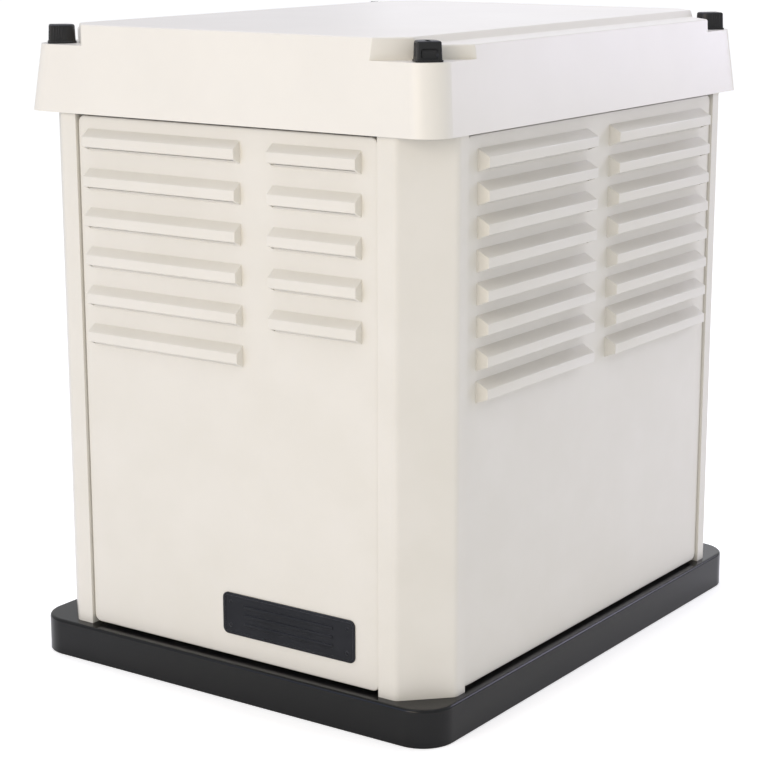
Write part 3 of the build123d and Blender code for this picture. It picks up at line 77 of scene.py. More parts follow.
# Two places nearer than this are the same, and a half makes a bevel round.
NEAR = 0.1 * MM
ROUND_PROFILE = 0.5
# Spans in the arc of a round corner, where a piece doesn't state its own.
CORNER_STEPS = 8
# How far the middle of a small arc stands from its two sides, as a share of its radius.
ARC_MIDDLE = 0.3


# ---------------------------------------------------------------- nodes and colours


def linear(hex_colour: str) -> tuple[float, float, float, float]:
    """Turns an sRGB hex colour into linear red, green, blue and alpha.

    Args:
        hex_colour: six hex digits, such as "E9E5D8".

    Returns:
        The linear colour, with an alpha of 1.
    """
    shares = [int(hex_colour[place : place + 2], 16) / 255 for place in (0, 2, 4)]
    red, green, blue = (
        share / 12.92 if share <= 0.04045 else ((share + 0.055) / 1.055) ** 2.4 for share in shares
    )
    return red, green, blue, 1.0


def add_node(
    tree: bpy.types.NodeTree, kind: str, inputs: dict[str | int, object] | None = None, **settings: object
) -> bpy.types.Node:
    """Adds one node to a shader or geometry tree, sets it and links it.

    Args:
        tree: the tree that the node goes into.
        kind: the node's type, such as "ShaderNodeTexNoise".
        inputs: a value, another node's output socket or a list of them, for each input.
        **settings: the node's own properties.

    Returns:
        The new node.
    """
    made = tree.nodes.new(kind)
    for name, value in settings.items():
        setattr(made, name, value)
    for key, value in (inputs or {}).items():
        for source in value if isinstance(value, list) else [value]:
            if isinstance(source, bpy.types.NodeSocket):
                tree.links.new(source, made.inputs[key])
            else:
                made.inputs[key].default_value = source
    return made


# ---------------------------------------------------------------- finishes

# A noise value outside these is rare, so a smooth step between them leaves no outlined patches.
NOISE_LOW = 0.2
NOISE_HIGH = 0.8
# Patches of gloss are this many times as wide as patches of colour.
GLOSS_PATCH = 3
# Brushed lines are drawn out fifty times along their axis.
BRUSHED_STRETCH = 0.02
# Winding wires and stacked sheets lie a little unevenly.
BAND_DISTORTION = 0.6
# Octaves of noise in grit, and in the finer skins.
GRIT_DETAIL = 6.0
SKIN_DETAIL = 2.0
# The slow wander of a surface's colour, and how much of it a strong pattern keeps; under a strong pattern the
# colour also follows the grain's height, a painted shade in its hollows.
MOTTLE_DETAIL = 4.0
MOTTLE_ROUGHNESS = 0.55
MOTTLE_SHARE = 0.1
# An edge starts to look rubbed where its rounded normal leaves the flat one by this cosine.
WORN_FROM = 0.98
WORN_TO = 0.82
WORN_SHARE = 0.7

class Grain(Enum):
    """The way that a surface's fine texture lies."""

    PEEL = "orange peel of a sprayed or moulded skin"
    CAST = "coarse sand-cast or sprayed grit"
    BRUSHED = "fine lines along one axis"
    SPANGLE = "large flat crystals of hot-dip zinc"
    WOUND = "wires or threads laid side by side"
    CELLS = "open cells of foam"


@dataclass(frozen=True)
class Finish:
    """One material: a base colour that wanders to a second, a grain and a gloss."""

    name: str
    base: str
    shade: str
    roughness: float
    grain: Grain = Grain.PEEL
    grain_mm: float = 1.0
    relief_mm: float = 0.02
    mottle_mm: float = 90.0
    metallic: float = 0.0
    ior: float = 1.5
    coat: float = 0.0
    coat_roughness: float = 0.2
    roughness_swing: float = 0.06
    edge: str | None = None
    edge_mm: float = 0.8
    axis: int = 2
    glow: float = 0.0

    def pattern(self, tree: bpy.types.NodeTree, place: bpy.types.NodeSocket) -> bpy.types.NodeSocket:
        """Builds the height pattern of the grain.

        Args:
            tree: the material's tree.
            place: the object coordinates.

        Returns:
            The socket with the height, from 0 to 1.
        """
        per_metre = 1 / (self.grain_mm * MM)
        if self.grain is Grain.SPANGLE:
            cells = add_node(
                tree, "ShaderNodeTexVoronoi", {"Vector": place, "Scale": per_metre}, feature="F1"
            )
            return add_node(tree, "ShaderNodeSeparateColor", {"Color": cells.outputs["Color"]}).outputs[0]
        if self.grain is Grain.CELLS:
            cells = add_node(
                tree, "ShaderNodeTexVoronoi", {"Vector": place, "Scale": per_metre}, feature="SMOOTH_F1"
            )
            return cells.outputs["Distance"]
        if self.grain is Grain.WOUND:
            bands = add_node(
                tree,
                "ShaderNodeTexWave",
                {
                    "Vector": place,
                    "Scale": per_metre / math.tau,
                    "Distortion": BAND_DISTORTION,
                    "Detail": 1.0,
                },
                wave_type="BANDS",
                bands_direction="XYZ"[self.axis],
            )
            return bands.outputs["Fac"]
        stretch = [1.0, 1.0, 1.0]
        if self.grain is Grain.BRUSHED:
            stretch[self.axis] = BRUSHED_STRETCH
        drawn = add_node(tree, "ShaderNodeMapping", {"Vector": place, "Scale": tuple(stretch)})
        detail = GRIT_DETAIL if self.grain is Grain.CAST else SKIN_DETAIL
        noise = add_node(
            tree, "ShaderNodeTexNoise", {"Vector": drawn.outputs[0], "Scale": per_metre, "Detail": detail}
        )
        return noise.outputs["Fac"]

    def colour(
        self, tree: bpy.types.NodeTree, place: bpy.types.NodeSocket, height: bpy.types.NodeSocket
    ) -> bpy.types.NodeSocket:
        """Mixes the base colour with its second colour, then with the rubbed edges. Under a strong grain the
        mix follows the grain's height, which paints shade into the hollows between wires, pleats and foam
        cells.

        Args:
            tree: the material's tree.
            place: the object coordinates.
            height: the grain's height.

        Returns:
            The colour socket.
        """
        wander = add_node(
            tree,
            "ShaderNodeTexNoise",
            {
                "Vector": place,
                "Scale": 1 / (self.mottle_mm * MM),
                "Detail": MOTTLE_DETAIL,
                "Roughness": MOTTLE_ROUGHNESS,
            },
        )
        # Spangles get a random grey each; for wires, stacked sheets, pleats and foam cells the colour darkens
        # where the grain is low: painted shade in the hollows of wires, pleats and cells, and the dark joints
        # between stacked sheets.
        if self.grain in (Grain.SPANGLE, Grain.WOUND, Grain.CELLS):
            share = add_node(
                tree, "ShaderNodeMath", {0: wander.outputs["Fac"], 1: height}, operation="MULTIPLY_ADD"
            )
            share.inputs[2].default_value = MOTTLE_SHARE
            amount = share.outputs[0]
        else:
            amount = add_node(
                tree,
                "ShaderNodeMapRange",
                {"Value": wander.outputs["Fac"], "From Min": NOISE_LOW, "From Max": NOISE_HIGH},
                interpolation_type="SMOOTHSTEP",
            ).outputs[0]
        mixed = add_node(
            tree,
            "ShaderNodeMix",
            {0: amount, 6: linear(self.base), 7: linear(self.shade)},
            data_type="RGBA",
        ).outputs[2]
        if self.edge is None:
            return mixed
        rounded = add_node(tree, "ShaderNodeBevel", {"Radius": self.edge_mm * MM}, samples=4)
        flat = add_node(tree, "ShaderNodeNewGeometry")
        facing = add_node(
            tree,
            "ShaderNodeVectorMath",
            {0: rounded.outputs[0], 1: flat.outputs["Normal"]},
            operation="DOT_PRODUCT",
        )
        worn = add_node(
            tree,
            "ShaderNodeMapRange",
            {
                "Value": facing.outputs["Value"],
                "From Min": WORN_FROM,
                "From Max": WORN_TO,
                "To Max": WORN_SHARE,
            },
        )
        return add_node(
            tree,
            "ShaderNodeMix",
            {0: worn.outputs[0], 6: mixed, 7: linear(self.edge)},
            data_type="RGBA",
        ).outputs[2]

    def make(self) -> bpy.types.Material:
        """Builds the material.

        Returns:
            The finished material.
        """
        made = bpy.data.materials.new(self.name)
        made.use_nodes = True
        tree = made.node_tree
        tree.nodes.clear()
        place = add_node(tree, "ShaderNodeTexCoord").outputs["Object"]
        height = self.pattern(tree, place)
        patch = GLOSS_PATCH * self.mottle_mm * MM
        drift = {"Vector": place, "Scale": 1 / patch, "Detail": SKIN_DETAIL}
        gloss = add_node(tree, "ShaderNodeTexNoise", drift)
        rough = add_node(
            tree,
            "ShaderNodeMapRange",
            {
                "Value": gloss.outputs["Fac"],
                "From Min": NOISE_LOW,
                "From Max": NOISE_HIGH,
                "To Min": self.roughness - self.roughness_swing,
                "To Max": self.roughness + self.roughness_swing,
            },
            interpolation_type="SMOOTHSTEP",
        )
        bump = add_node(
            tree,
            "ShaderNodeBump",
            {"Height": height, "Distance": self.relief_mm * MM, "Strength": 1.0},
        )
        surface = add_node(
            tree,
            "ShaderNodeBsdfPrincipled",
            {
                "Base Color": self.colour(tree, place, height),
                "Roughness": rough.outputs[0],
                "Metallic": self.metallic,
                "IOR": self.ior,
                "Coat Weight": self.coat,
                "Coat Roughness": self.coat_roughness,
                "Normal": bump.outputs[0],
            },
        )
        if self.glow:
            surface.inputs["Emission Color"].default_value = linear(self.base)
            surface.inputs["Emission Strength"].default_value = self.glow
        add_node(tree, "ShaderNodeOutputMaterial", {"Surface": surface.outputs[0]})
        return made


# Each slot of the record, with the real material that it stands for.
FINISHES: dict[str, Finish] = {
    # Baked polyester powder on sheet: an even cream with a faint orange peel in its gloss.
    "panel_cream": Finish(
        "powder_coat_cream", "E9E5DB", "E5E1D6", 0.33, grain_mm=2.2, relief_mm=0.018,
        roughness_swing=0.04,
    ),
    # The panels' cream moulded through a composite lid, with a smoother skin; its colour is set a little
    # lighter than the panels' as painted light, for the skirt and roof that catch more light from above.
    "lid_cream": Finish(
        "moulded_composite_cream", "F0ECE2", "EDE9DF", 0.34, grain_mm=2.8, relief_mm=0.015,
        roughness_swing=0.04,
    ),
    # Rotationally moulded polyethylene: deep black with a soft skin and scuffed edges.
    "pad_black": Finish(
        "polyethylene_black", "08090A", "0D0E0F", 0.2, grain_mm=3.0, relief_mm=0.02, ior=1.42,
        roughness_swing=0.04,
    ),
    # Glass-filled nylon: satin black with a spark-eroded texture.
    "black_plastic": Finish(
        "glass_filled_nylon", "0E0F10", "191A1B", 0.42, Grain.CAST, grain_mm=0.8, relief_mm=0.03,
        edge="2E2F31", edge_mm=0.6,
    ),
    # Anodised aluminium: dark, with fine lines along its length that catch the light.
    "badge_dark": Finish(
        "anodised_aluminium_dark", "2A2B2E", "35363A", 0.36, Grain.BRUSHED, grain_mm=0.5,
        relief_mm=0.01, metallic=0.85, edge="8A8C90", edge_mm=0.5, axis=0,
    ),
    # Extruded EPDM: dull black that takes a little dust.
    "seal_rubber": Finish(
        "epdm_rubber", "17181A", "242527", 0.78, Grain.CAST, grain_mm=1.5, relief_mm=0.06,
    ),
    # Open-cell polyurethane: soft grey with visible cells, drawn at 3 mm so that they show; the darker grey
    # is a painted shade in the cells' hollows.
    "foam_grey": Finish(
        "acoustic_foam", "3B3C3F", "57585B", 0.95, Grain.CELLS, grain_mm=3.0, relief_mm=0.8,
    ),
    # Hot-dip galvanised steel: flat crystals about 12 mm across, each a slightly other grey.
    "zinc_steel": Finish(
        "galvanised_steel", "8F9396", "B4B8BA", 0.42, Grain.SPANGLE, grain_mm=12.0, relief_mm=0.01,
        metallic=0.9,
    ),
    # Sand-cast aluminium: pale and coarse, a little darker in patches.
    "cast_alloy": Finish(
        "sand_cast_aluminium", "8C8E8F", "A5A7A8", 0.55, Grain.CAST, grain_mm=1.6, relief_mm=0.12,
        metallic=0.85, edge="C9CBCC", edge_mm=1.0,
    ),
    # Air-drying enamel on pressed steel: black with rubbed edges.
    "black_paint": Finish(
        "black_enamel", "131416", "1E1F22", 0.34, grain_mm=1.8, relief_mm=0.02, coat=0.3, edge="5A5B5D",
    ),
    # Turned and ground steel: bright, with fine lines round the axis.
    "machined_steel": Finish(
        "machined_steel", "A9ABAD", "C4C6C8", 0.23, Grain.BRUSHED, grain_mm=0.6, relief_mm=0.01,
        metallic=1.0, roughness_swing=0.03, axis=0,
    ),
    # Aluminised steel that has been hot: grey with straw and blue patches.
    "muffler_steel": Finish(
        "aluminised_steel", "8E8C88", "6F6A62", 0.45, Grain.CAST, grain_mm=2.0, relief_mm=0.03,
        metallic=0.9, mottle_mm=60.0, roughness_swing=0.12,
    ),
    # Enamelled magnet wire, 1.2 mm thick and varnished, drawn at 3 mm so that it shows; the darker copper is
    # a painted shade between the wires.
    "copper_winding": Finish(
        "varnished_magnet_wire", "8A3F1C", "C46A34", 0.35, Grain.WOUND, grain_mm=3.0, relief_mm=0.6,
        metallic=0.6, coat=0.5, axis=1,
    ),
    # Stacked electrical steel, 0.5 mm thick, drawn at 2 mm so that the stack shows.
    "core_steel": Finish(
        "lamination_stack", "4C4E50", "6C6E71", 0.45, Grain.WOUND, grain_mm=2.0, relief_mm=0.15,
        metallic=0.85, axis=1,
    ),
    # Polypropylene: a waxy black case.
    "battery_case": Finish(
        "polypropylene_black", "121315", "202123", 0.4, grain_mm=1.2, relief_mm=0.03,
    ),
    # Pleated paper: warm white ridges 5 mm apart, with a painted shade of darker tan in the valleys between
    # them.
    "filter_paper": Finish(
        "pleated_paper", "B9A67C", "E2D3AE", 0.85, Grain.WOUND, grain_mm=5.0, relief_mm=1.2, axis=1,
    ),
    # Sprayed can of the oil filter: a glossy white coat.
    "oil_filter_paint": Finish(
        "white_enamel", "D9DADB", "C9CBCC", 0.22, grain_mm=1.6, relief_mm=0.01, coat=0.6,
        roughness_swing=0.04,
    ),
    # Injection-moulded acetal: bright, even colours with a light sheen.
    "red_plastic": Finish("acetal_red", "A8161B", "8E1015", 0.35, grain_mm=0.9, relief_mm=0.015),
    "yellow_plastic": Finish("acetal_yellow", "E2B413", "CFA30C", 0.35, grain_mm=0.9, relief_mm=0.015),
    # Moulded acrylic lens over a small lamp.
    "lamp_green": Finish(
        "acrylic_green", "2FBF4A", "249A3B", 0.12, grain_mm=1.0, relief_mm=0.01, glow=0.6, coat=0.8,
    ),
    # Glazed alumina: white with a hard gloss.
    "ceramic_white": Finish(
        "glazed_alumina", "EEEDEA", "E2E0DB", 0.15, grain_mm=1.0, relief_mm=0.01, coat=0.7,
    ),
    # Turned brass: yellow and bright, with lines round the fitting.
    "brass_fitting": Finish(
        "turned_brass", "B8923F", "D0AC5A", 0.32, Grain.BRUSHED, grain_mm=0.6, relief_mm=0.01,
        metallic=1.0, roughness_swing=0.03, axis=0,
    ),
}


class Paintshop:
    """Makes each finish once and puts it on CAD nodes and on new pieces."""

    def __init__(self) -> None:
        """Starts with no material made."""
        self.made: dict[str, bpy.types.Material] = {}

    def finish(self, slot: str) -> bpy.types.Material:
        """Gives a slot's material, made at the first call.

        Args:
            slot: the record's material slot.

        Returns:
            The material.
        """
        if slot not in self.made:
            self.made[slot] = FINISHES[slot].make()
        return self.made[slot]

    def dress(self, nodes: dict[str, bpy.types.Object]) -> None:
        """Gives every CAD node the finish of the slot that it was packed with.

        Args:
            nodes: the frame's nodes by name.
        """
        for name, node in nodes.items():
            for place, packed in enumerate(node.data.materials):
                slot = packed.name.split(".")[0]
                if slot in FINISHES:
                    node.data.materials[place] = self.finish(slot)
                    LOG.info("%s is dressed in %s", name, FINISHES[slot].name)


# ---------------------------------------------------------------- mesh building


def rounded_rectangle(half_x: float, half_y: float, radius: float, steps: int = CORNER_STEPS) -> list[Point2]:
    """Points of a rectangle with round corners, anticlockwise.

    Args:
        half_x: half of the width.
        half_y: half of the height.
        radius: the corners' radius.
        steps: spans in each corner's arc.

    Returns:
        The outline's points.
    """
    points = []
    for quarter, (side_x, side_y) in enumerate(((1, 1), (-1, 1), (-1, -1), (1, -1))):
        for step in range(steps + 1):
            angle = math.tau / 4 * (quarter + step / steps)
            x = side_x * (half_x - radius) + radius * math.cos(angle)
            y = side_y * (half_y - radius) + radius * math.sin(angle)
            points.append((x, y))
    return points


def as_object(name: str, built: bmesh.types.BMesh) -> bpy.types.Object:
    """Puts a finished bmesh into the scene as an object at the origin.

    Args:
        name: the object's name.
        built: the mesh, which is freed.

    Returns:
        The new object.
    """
    mesh = bpy.data.meshes.new(name)
    built.to_mesh(mesh)
    built.free()
    made = bpy.data.objects.new(name, mesh)
    bpy.context.scene.collection.objects.link(made)
    return made


def loft(rings: list[list[Vector]]) -> bmesh.types.BMesh:
    """Joins rings of equal length with quads, and closes the first and the last ring.

    Args:
        rings: the rings from one end of the shape to the other.

    Returns:
        The closed mesh, with its faces outwards.
    """
    built = bmesh.new()
    rows = [[built.verts.new(point) for point in ring] for ring in rings]
    count = len(rows[0])
    for low, high in zip(rows, rows[1:]):
        for place in range(count):
            after = (place + 1) % count
            built.faces.new((low[place], low[after], high[after], high[place]))
    built.faces.new(list(reversed(rows[0])))
    built.faces.new(rows[-1])
    bmesh.ops.recalc_face_normals(built, faces=built.faces)
    return built


def extruded(outline: list[Point2], length: float) -> bmesh.types.BMesh:
    """A prism along X, centred on X = 0, whose outline is drawn in Y and Z.

    Args:
        outline: the outline's (y, z) points.
        length: the prism's length.

    Returns:
        The closed mesh.
    """
    return loft([[Vector((x, y, z)) for y, z in outline] for x in (-length / 2, length / 2)])


def stacked(
    name: str, levels: Iterable[Point2], outline: Callable[[float], list[Point2]]
) -> bpy.types.Object:
    """Lofts one outline upwards through levels that each draw it in by their own inset.

    Args:
        name: the object's name.
        levels: the (inset, z) of each level, from the first end to the other.
        outline: gives the outline's points for an inset.

    Returns:
        The closed solid.
    """
    return as_object(name, loft([[Vector((x, y, z)) for x, y in outline(inset)] for inset, z in levels]))


def drawn_in(
    half_x: float, half_y: float, radius: float, steps: int = CORNER_STEPS
) -> Callable[[float], list[Point2]]:
    """A rounded rectangle that a stack can draw in by any inset.

    Args:
        half_x: half of the full width.
        half_y: half of the full height.
        radius: the corners' full radius.
        steps: spans in each corner's arc.

    Returns:
        The function from an inset to the outline's points.
    """
    return lambda inset: rounded_rectangle(half_x - inset, half_y - inset, radius - inset, steps)


def quarter_arc(steps: int) -> list[float]:
    """Angles from 0 to a right angle, in equal steps."""
    return [math.tau / 4 * step / steps for step in range(steps + 1)]


def cut_away(piece: bpy.types.Object, cutter: bpy.types.Object) -> None:
    """Adds a modifier that takes a cutter's space out of a piece.

    Args:
        piece: the object that is cut.
        cutter: the space to take away.
    """
    modifier = piece.modifiers.new(cutter.name, "BOOLEAN")
    modifier.object = cutter
    modifier.operation = "DIFFERENCE"
    modifier.solver = "MANIFOLD"


def remove(*objects: bpy.types.Object) -> None:
    """Deletes helper objects and their meshes."""
    for helper in objects:
        mesh = helper.data
        bpy.data.objects.remove(helper)
        bpy.data.meshes.remove(mesh)


def settled(piece: bpy.types.Object, sharp_degrees: float) -> bpy.types.Object:
    """Turns what a piece's modifiers make into its plain mesh, smooth up to an angle.

    Args:
        piece: the object whose modifiers are used up.
        sharp_degrees: edges that bend more than this stay sharp.

    Returns:
        The same object.
    """
    graph = bpy.context.evaluated_depsgraph_get()
    mesh = bpy.data.meshes.new_from_object(piece.evaluated_get(graph))
    piece.modifiers.clear()
    spent = piece.data
    piece.data = mesh
    bpy.data.meshes.remove(spent)
    mesh.name = piece.name
    mesh.shade_smooth()
    mesh.set_sharp_from_angle(angle=math.radians(sharp_degrees))
    return piece


class GeometryTree:
    """A geometry node group with named inputs, used as a modifier."""

    def __init__(self, name: str, **sockets: str) -> None:
        """Makes the group with its sockets.

        Args:
            name: the group's name.
            **sockets: each input's name and kind, the first one the geometry.
        """
        self.tree = bpy.data.node_groups.new(name, "GeometryNodeTree")
        for label, kind in sockets.items():
            self.tree.interface.new_socket(label, in_out="INPUT", socket_type="NodeSocket" + kind)
        self.tree.interface.new_socket("Geometry", in_out="OUTPUT", socket_type="NodeSocketGeometry")
        self.inputs = add_node(self.tree, "NodeGroupInput").outputs

    def node(self, kind: str, inputs: dict[object, object], **settings: object) -> bpy.types.NodeSocket:
        """Adds one geometry node.

        Args:
            kind: the node's type, without its leading GeometryNode.
            inputs: each input's value or the socket that feeds it.
            **settings: the node's own settings.

        Returns:
            The node's first output.
        """
        return add_node(self.tree, "GeometryNode" + kind, inputs, **settings).outputs[0]

    def scattered(self, points: bpy.types.NodeSocket, part: str, **inputs: object) -> bpy.types.NodeSocket:
        """Sets a copy of an object's mesh on every point.

        Args:
            points: the points.
            part: the input that holds the object.
            **inputs: more inputs of the node, such as its Rotation.

        Returns:
            The copies, still as instances.
        """
        source = add_node(self.tree, "GeometryNodeObjectInfo", {"Object": self.inputs[part]})
        inputs |= {"Points": points, "Instance": source.outputs["Geometry"]}
        return self.node("InstanceOnPoints", inputs)

    def realized(self, geometry: bpy.types.NodeSocket) -> bpy.types.NodeSocket:
        """Turns instances into mesh."""
        return self.node("RealizeInstances", {"Geometry": geometry})

    def close(self, geometry: bpy.types.NodeSocket) -> None:
        """Ends the tree in Realize Instances and Set Material.

        Args:
            geometry: what the tree has made.
        """
        finished = {"Geometry": self.realized(geometry), "Material": self.inputs["Finish"]}
        add_node(self.tree, "NodeGroupOutput", {0: self.node("SetMaterial", finished)})

    def put_on(self, piece: bpy.types.Object, values: dict[str, object]) -> None:
        """Adds the tree to a piece as a modifier, with its inputs set.

        Args:
            piece: the object that gets the modifier.
            values: each named input's value.
        """
        modifier = piece.modifiers.new(self.tree.name, "NODES")
        modifier.node_group = self.tree
        for item in self.tree.interface.items_tree:
            if item.in_out == "INPUT" and item.name in values:
                modifier[item.identifier] = values[item.name]


# ---------------------------------------------------------------- louvred panels


class Side(Enum):
    """The enclosure's sides, each with the turn from a panel's own axes to the frame's."""

    FRONT = (0.0, "front_panel")
    REAR = (180.0, "rear_panel")
    RIGHT = (90.0, "right_panel")
    LEFT = (-90.0, "left_panel")


@dataclass(frozen=True)
class Column:
    """A column of louvers: its middle along the panel, its louvers' length and its rows."""

    middle: float
    length: float
    rows: int


@dataclass
class LouvredPanel:
    """One side of the enclosure: a shallow pan with columns of hooded louvers.

    It is built lying on its own axes, with X along the panel, Z up and -Y out of it.
    """

    side: Side
    columns: tuple[Column, ...]
    pitch: float
    depth: float
    wall: float = 4 * MM
    corner: float = 10 * MM
    corner_share: float = 0.9
    edge: float = 1.8 * MM
    edge_steps: int = 4
    support: float = 1.5 * MM
    hood_height: float = 28.5 * MM
    lip_low: float = 6.7 * MM
    lip_high: float = 18.9 * MM
    hood_wall: float = 3 * MM
    hood_rounding: float = 2.6 * MM
    rounding_steps: int = 4
    air_gap: float = 0.5 * MM
    first_top: float = 726 * MM
    bores: tuple[Point3, ...] = ()
    bore_steps: int = 64
    sharp_degrees: float = 32

    @property
    def node(self) -> str:
        """The CAD node that this panel stands for."""
        return self.side.value[1]

    def own_box(self) -> tuple[float, float, float, float, float]:
        """Reads the pan's size from the frame.

        Returns:
            Half of its width, its lowest and highest Z, its back and its face along -Y.
        """
        low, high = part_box(self.node)
        if self.side in (Side.FRONT, Side.REAR):
            half = (high.x - low.x) / 2
            reach = max(-low.y, high.y)
            back = min(abs(low.y), abs(high.y))
        else:
            half = (high.y - low.y) / 2
            reach = max(-low.x, high.x)
            back = min(abs(low.x), abs(high.x))
        return half, low.z, high.z, back, reach - self.depth

    def pan(self) -> bpy.types.Object:
        """Builds the pan with its rounded face and its folded returns.

        Returns:
            The pan, without louvers.
        """
        half, low, high, back, face = self.own_box()
        middle = (low + high) / 2
        half_height = (high - low) / 2
        arc = quarter_arc(self.edge_steps)
        levels = [(self.wall, face - self.wall), (self.wall, back), (0.0, back)]
        levels += [(self.edge * (1 - math.cos(a)), face - self.edge * (1 - math.sin(a))) for a in arc]
        levels.append((self.edge + self.support, face))
        rings = []
        for inset, out in levels:
            outline = rounded_rectangle(
                half - inset, half_height - inset, self.corner - inset * self.corner_share
            )
            rings.append([Vector((x, -out, middle + z)) for x, z in outline])
        return as_object(self.node + "_skin", loft(rings))

    def hood(self, length: float, face: float) -> bpy.types.Object:
        """Builds one hood, its foot at Z = 0, with round lips and cheeks.

        Args:
            length: the louver's length.
            face: the panel's face along -Y.

        Returns:
            The hood as a closed solid that is sunk into the panel.
        """
        sunk = -(face - self.wall / 2)
        out = -(face + self.depth)
        outline = [
            (sunk, 0.0),
            (-face, 0.0),
            (out, self.lip_low),
            (out, self.lip_high),
            (-face, self.hood_height),
            (sunk, self.hood_height),
        ]
        built = extruded(outline, length)
        # The edges that lie wholly outside the panel come first, then those that rise from its face.
        reaches = [(edge, [vert.co.y + face for vert in edge.verts]) for edge in built.edges]
        proud = [edge for edge, reach in reaches if max(reach) < -NEAR]
        proud += [edge for edge, reach in reaches if min(reach) < -NEAR and abs(max(reach)) < NEAR]
        bmesh.ops.bevel(
            built,
            geom=proud,
            offset=self.hood_rounding,
            segments=self.rounding_steps,
            profile=ROUND_PROFILE,
            affect="EDGES",
            clamp_overlap=True,
        )
        return as_object("hood", built)

    def hollow(self, length: float, face: float) -> bpy.types.Object:
        """Builds the air way through one louver: open behind and under the lip.

        Args:
            length: the louver's length.
            face: the panel's face along -Y.

        Returns:
            The space to be cut away.
        """
        w = self.hood_wall
        behind = -(face - self.wall - MM)
        out = -(face + self.depth - w)
        outline = [
            (behind, w),
            (-face - w, w + self.air_gap),
            (-face - w, -w),
            (out, -w),
            (out, self.lip_high - w / 2),
            (-face, self.hood_height - w),
            (behind, self.hood_height - w),
        ]
        return as_object("hollow", extruded(outline, length - 2 * w))

    def build(self, louver_tree: GeometryTree, finish: bpy.types.Material) -> bpy.types.Object:
        """Builds the panel with its louvers and its bores, and turns it to its side.

        Args:
            louver_tree: the tree that adds one column.
            finish: the panel's material.

        Returns:
            The finished panel.
        """
        panel = self.pan()
        face = self.own_box()[4]
        helpers = []
        for column in self.columns:
            hood = self.hood(column.length, face)
            hollow = self.hollow(column.length, face)
            helpers += [hood, hollow]
            values = {
                "Hood": hood,
                "Hollow": hollow,
                "Rows": column.rows,
                "First": (column.middle, 0.0, self.first_top - self.hood_height),
                "Pitch": (0.0, 0.0, -self.pitch),
                "Finish": finish,
            }
            louver_tree.put_on(panel, values)
        for along, up, radius in self.bores:
            drill = bmesh.new()
            bmesh.ops.create_cone(
                drill,
                cap_ends=True,
                segments=self.bore_steps,
                radius1=radius,
                radius2=radius,
                depth=4 * self.wall,
                matrix=Matrix.Translation((along, -face, up)) @ Matrix.Rotation(math.tau / 4, 4, "X"),
            )
            cutter = as_object("drill", drill)
            helpers.append(cutter)
            cut_away(panel, cutter)
        settled(panel, self.sharp_degrees)
        remove(*helpers)
        panel.data.transform(Matrix.Rotation(math.radians(self.side.value[0]), 4, "Z"))
        return panel


def louver_column_tree() -> GeometryTree:
    """Builds the tree that adds a column of louvers to a pan.

    Returns:
        The tree. Its inputs are the hood and the hollow, the number of rows, the first
        louver's place, the step to the next one and the finish.
    """
    made = GeometryTree(
        "louver_column",
        Pan="Geometry",
        Hood="Object",
        Hollow="Object",
        Rows="Int",
        First="Vector",
        Pitch="Vector",
        Finish="Material",
    )
    given = made.inputs
    steps = {"Count": given["Rows"], "Start Location": given["First"], "Offset": given["Pitch"]}
    line = made.node("MeshLine", steps)
    hoods, hollows = (made.realized(made.scattered(line, part)) for part in ("Hood", "Hollow"))
    hooded = made.node("MeshBoolean", {"Mesh 2": [given["Pan"], hoods]}, operation="UNION", solver="MANIFOLD")
    both = {"Mesh 1": hooded, "Mesh 2": hollows}
    made.close(made.node("MeshBoolean", both, operation="DIFFERENCE", solver="MANIFOLD"))
    return made


@dataclass
class Panels:
    """The four louvred sides. The left one is the right one's mirror image."""

    front_pitch: float = 51.2 * MM
    front_depth: float = 13 * MM
    soft_rounding: float = 3.8 * MM
    side_pitch: float = 40.4 * MM
    side_depth: float = 17 * MM
    front_columns: tuple[Column, ...] = (Column(-95 * MM, 250 * MM, 6), Column(146.5 * MM, 133 * MM, 5))
    side_columns: tuple[Column, ...] = (Column(-164 * MM, 264 * MM, 8), Column(157 * MM, 264 * MM, 8))
    inlet_bore: Point3 = (280 * MM, 120 * MM, 18.2 * MM)
    conduit_bore: Point3 = (205 * MM, 120 * MM, 17.5 * MM)

    def build(self, shop: Paintshop) -> None:
        """Builds the four panels and puts each on its body.

        Args:
            shop: where the finishes come from.
        """
        tree = louver_column_tree()
        finish = shop.finish("panel_cream")
        mirrored = tuple(Column(-c.middle, c.length, c.rows) for c in self.side_columns)
        bores = (self.inlet_bore, self.conduit_bore)
        narrow = (self.front_columns, self.front_pitch, self.front_depth)
        panels = (
            LouvredPanel(Side.FRONT, *narrow, hood_rounding=self.soft_rounding),
            LouvredPanel(Side.REAR, *narrow, hood_rounding=self.soft_rounding),
            LouvredPanel(Side.RIGHT, self.side_columns, self.side_pitch, self.side_depth),
            LouvredPanel(Side.LEFT, mirrored, self.side_pitch, self.side_depth, bores=bores),
        )
        for panel in panels:
            piece = panel.build(tree, finish)
            body = "front_panel" if panel.side is Side.FRONT else "enclosure"
            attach(piece, body)
            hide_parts(panel.node)
            LOG.info("%s: %d faces", piece.name, len(piece.data.polygons))


# ---------------------------------------------------------------- small parts


def joined(name: str, *pieces: bpy.types.Object) -> bpy.types.Object:
    """Puts several closed shells into one new object and deletes the originals.

    Args:
        name: the new object's name.
        *pieces: the objects, all at the origin.

    Returns:
        The new object.
    """
    built = bmesh.new()
    for piece in pieces:
        built.from_mesh(piece.data)
    remove(*pieces)
    return as_object(name, built)


def turned(name: str, profile: list[Point2], steps: int) -> bpy.types.Object:
    """A solid of revolution about Z, as a stack of rings that is closed at both ends.

    Args:
        name: the object's name.
        profile: the (radius, z) of each ring, from the lowest.
        steps: the points in each ring.

    Returns:
        The solid.
    """
    turns = [math.tau * step / steps for step in range(steps)]
    rings = [[Vector((r * math.cos(a), r * math.sin(a), z)) for a in turns] for r, z in profile]
    return as_object(name, loft(rings))


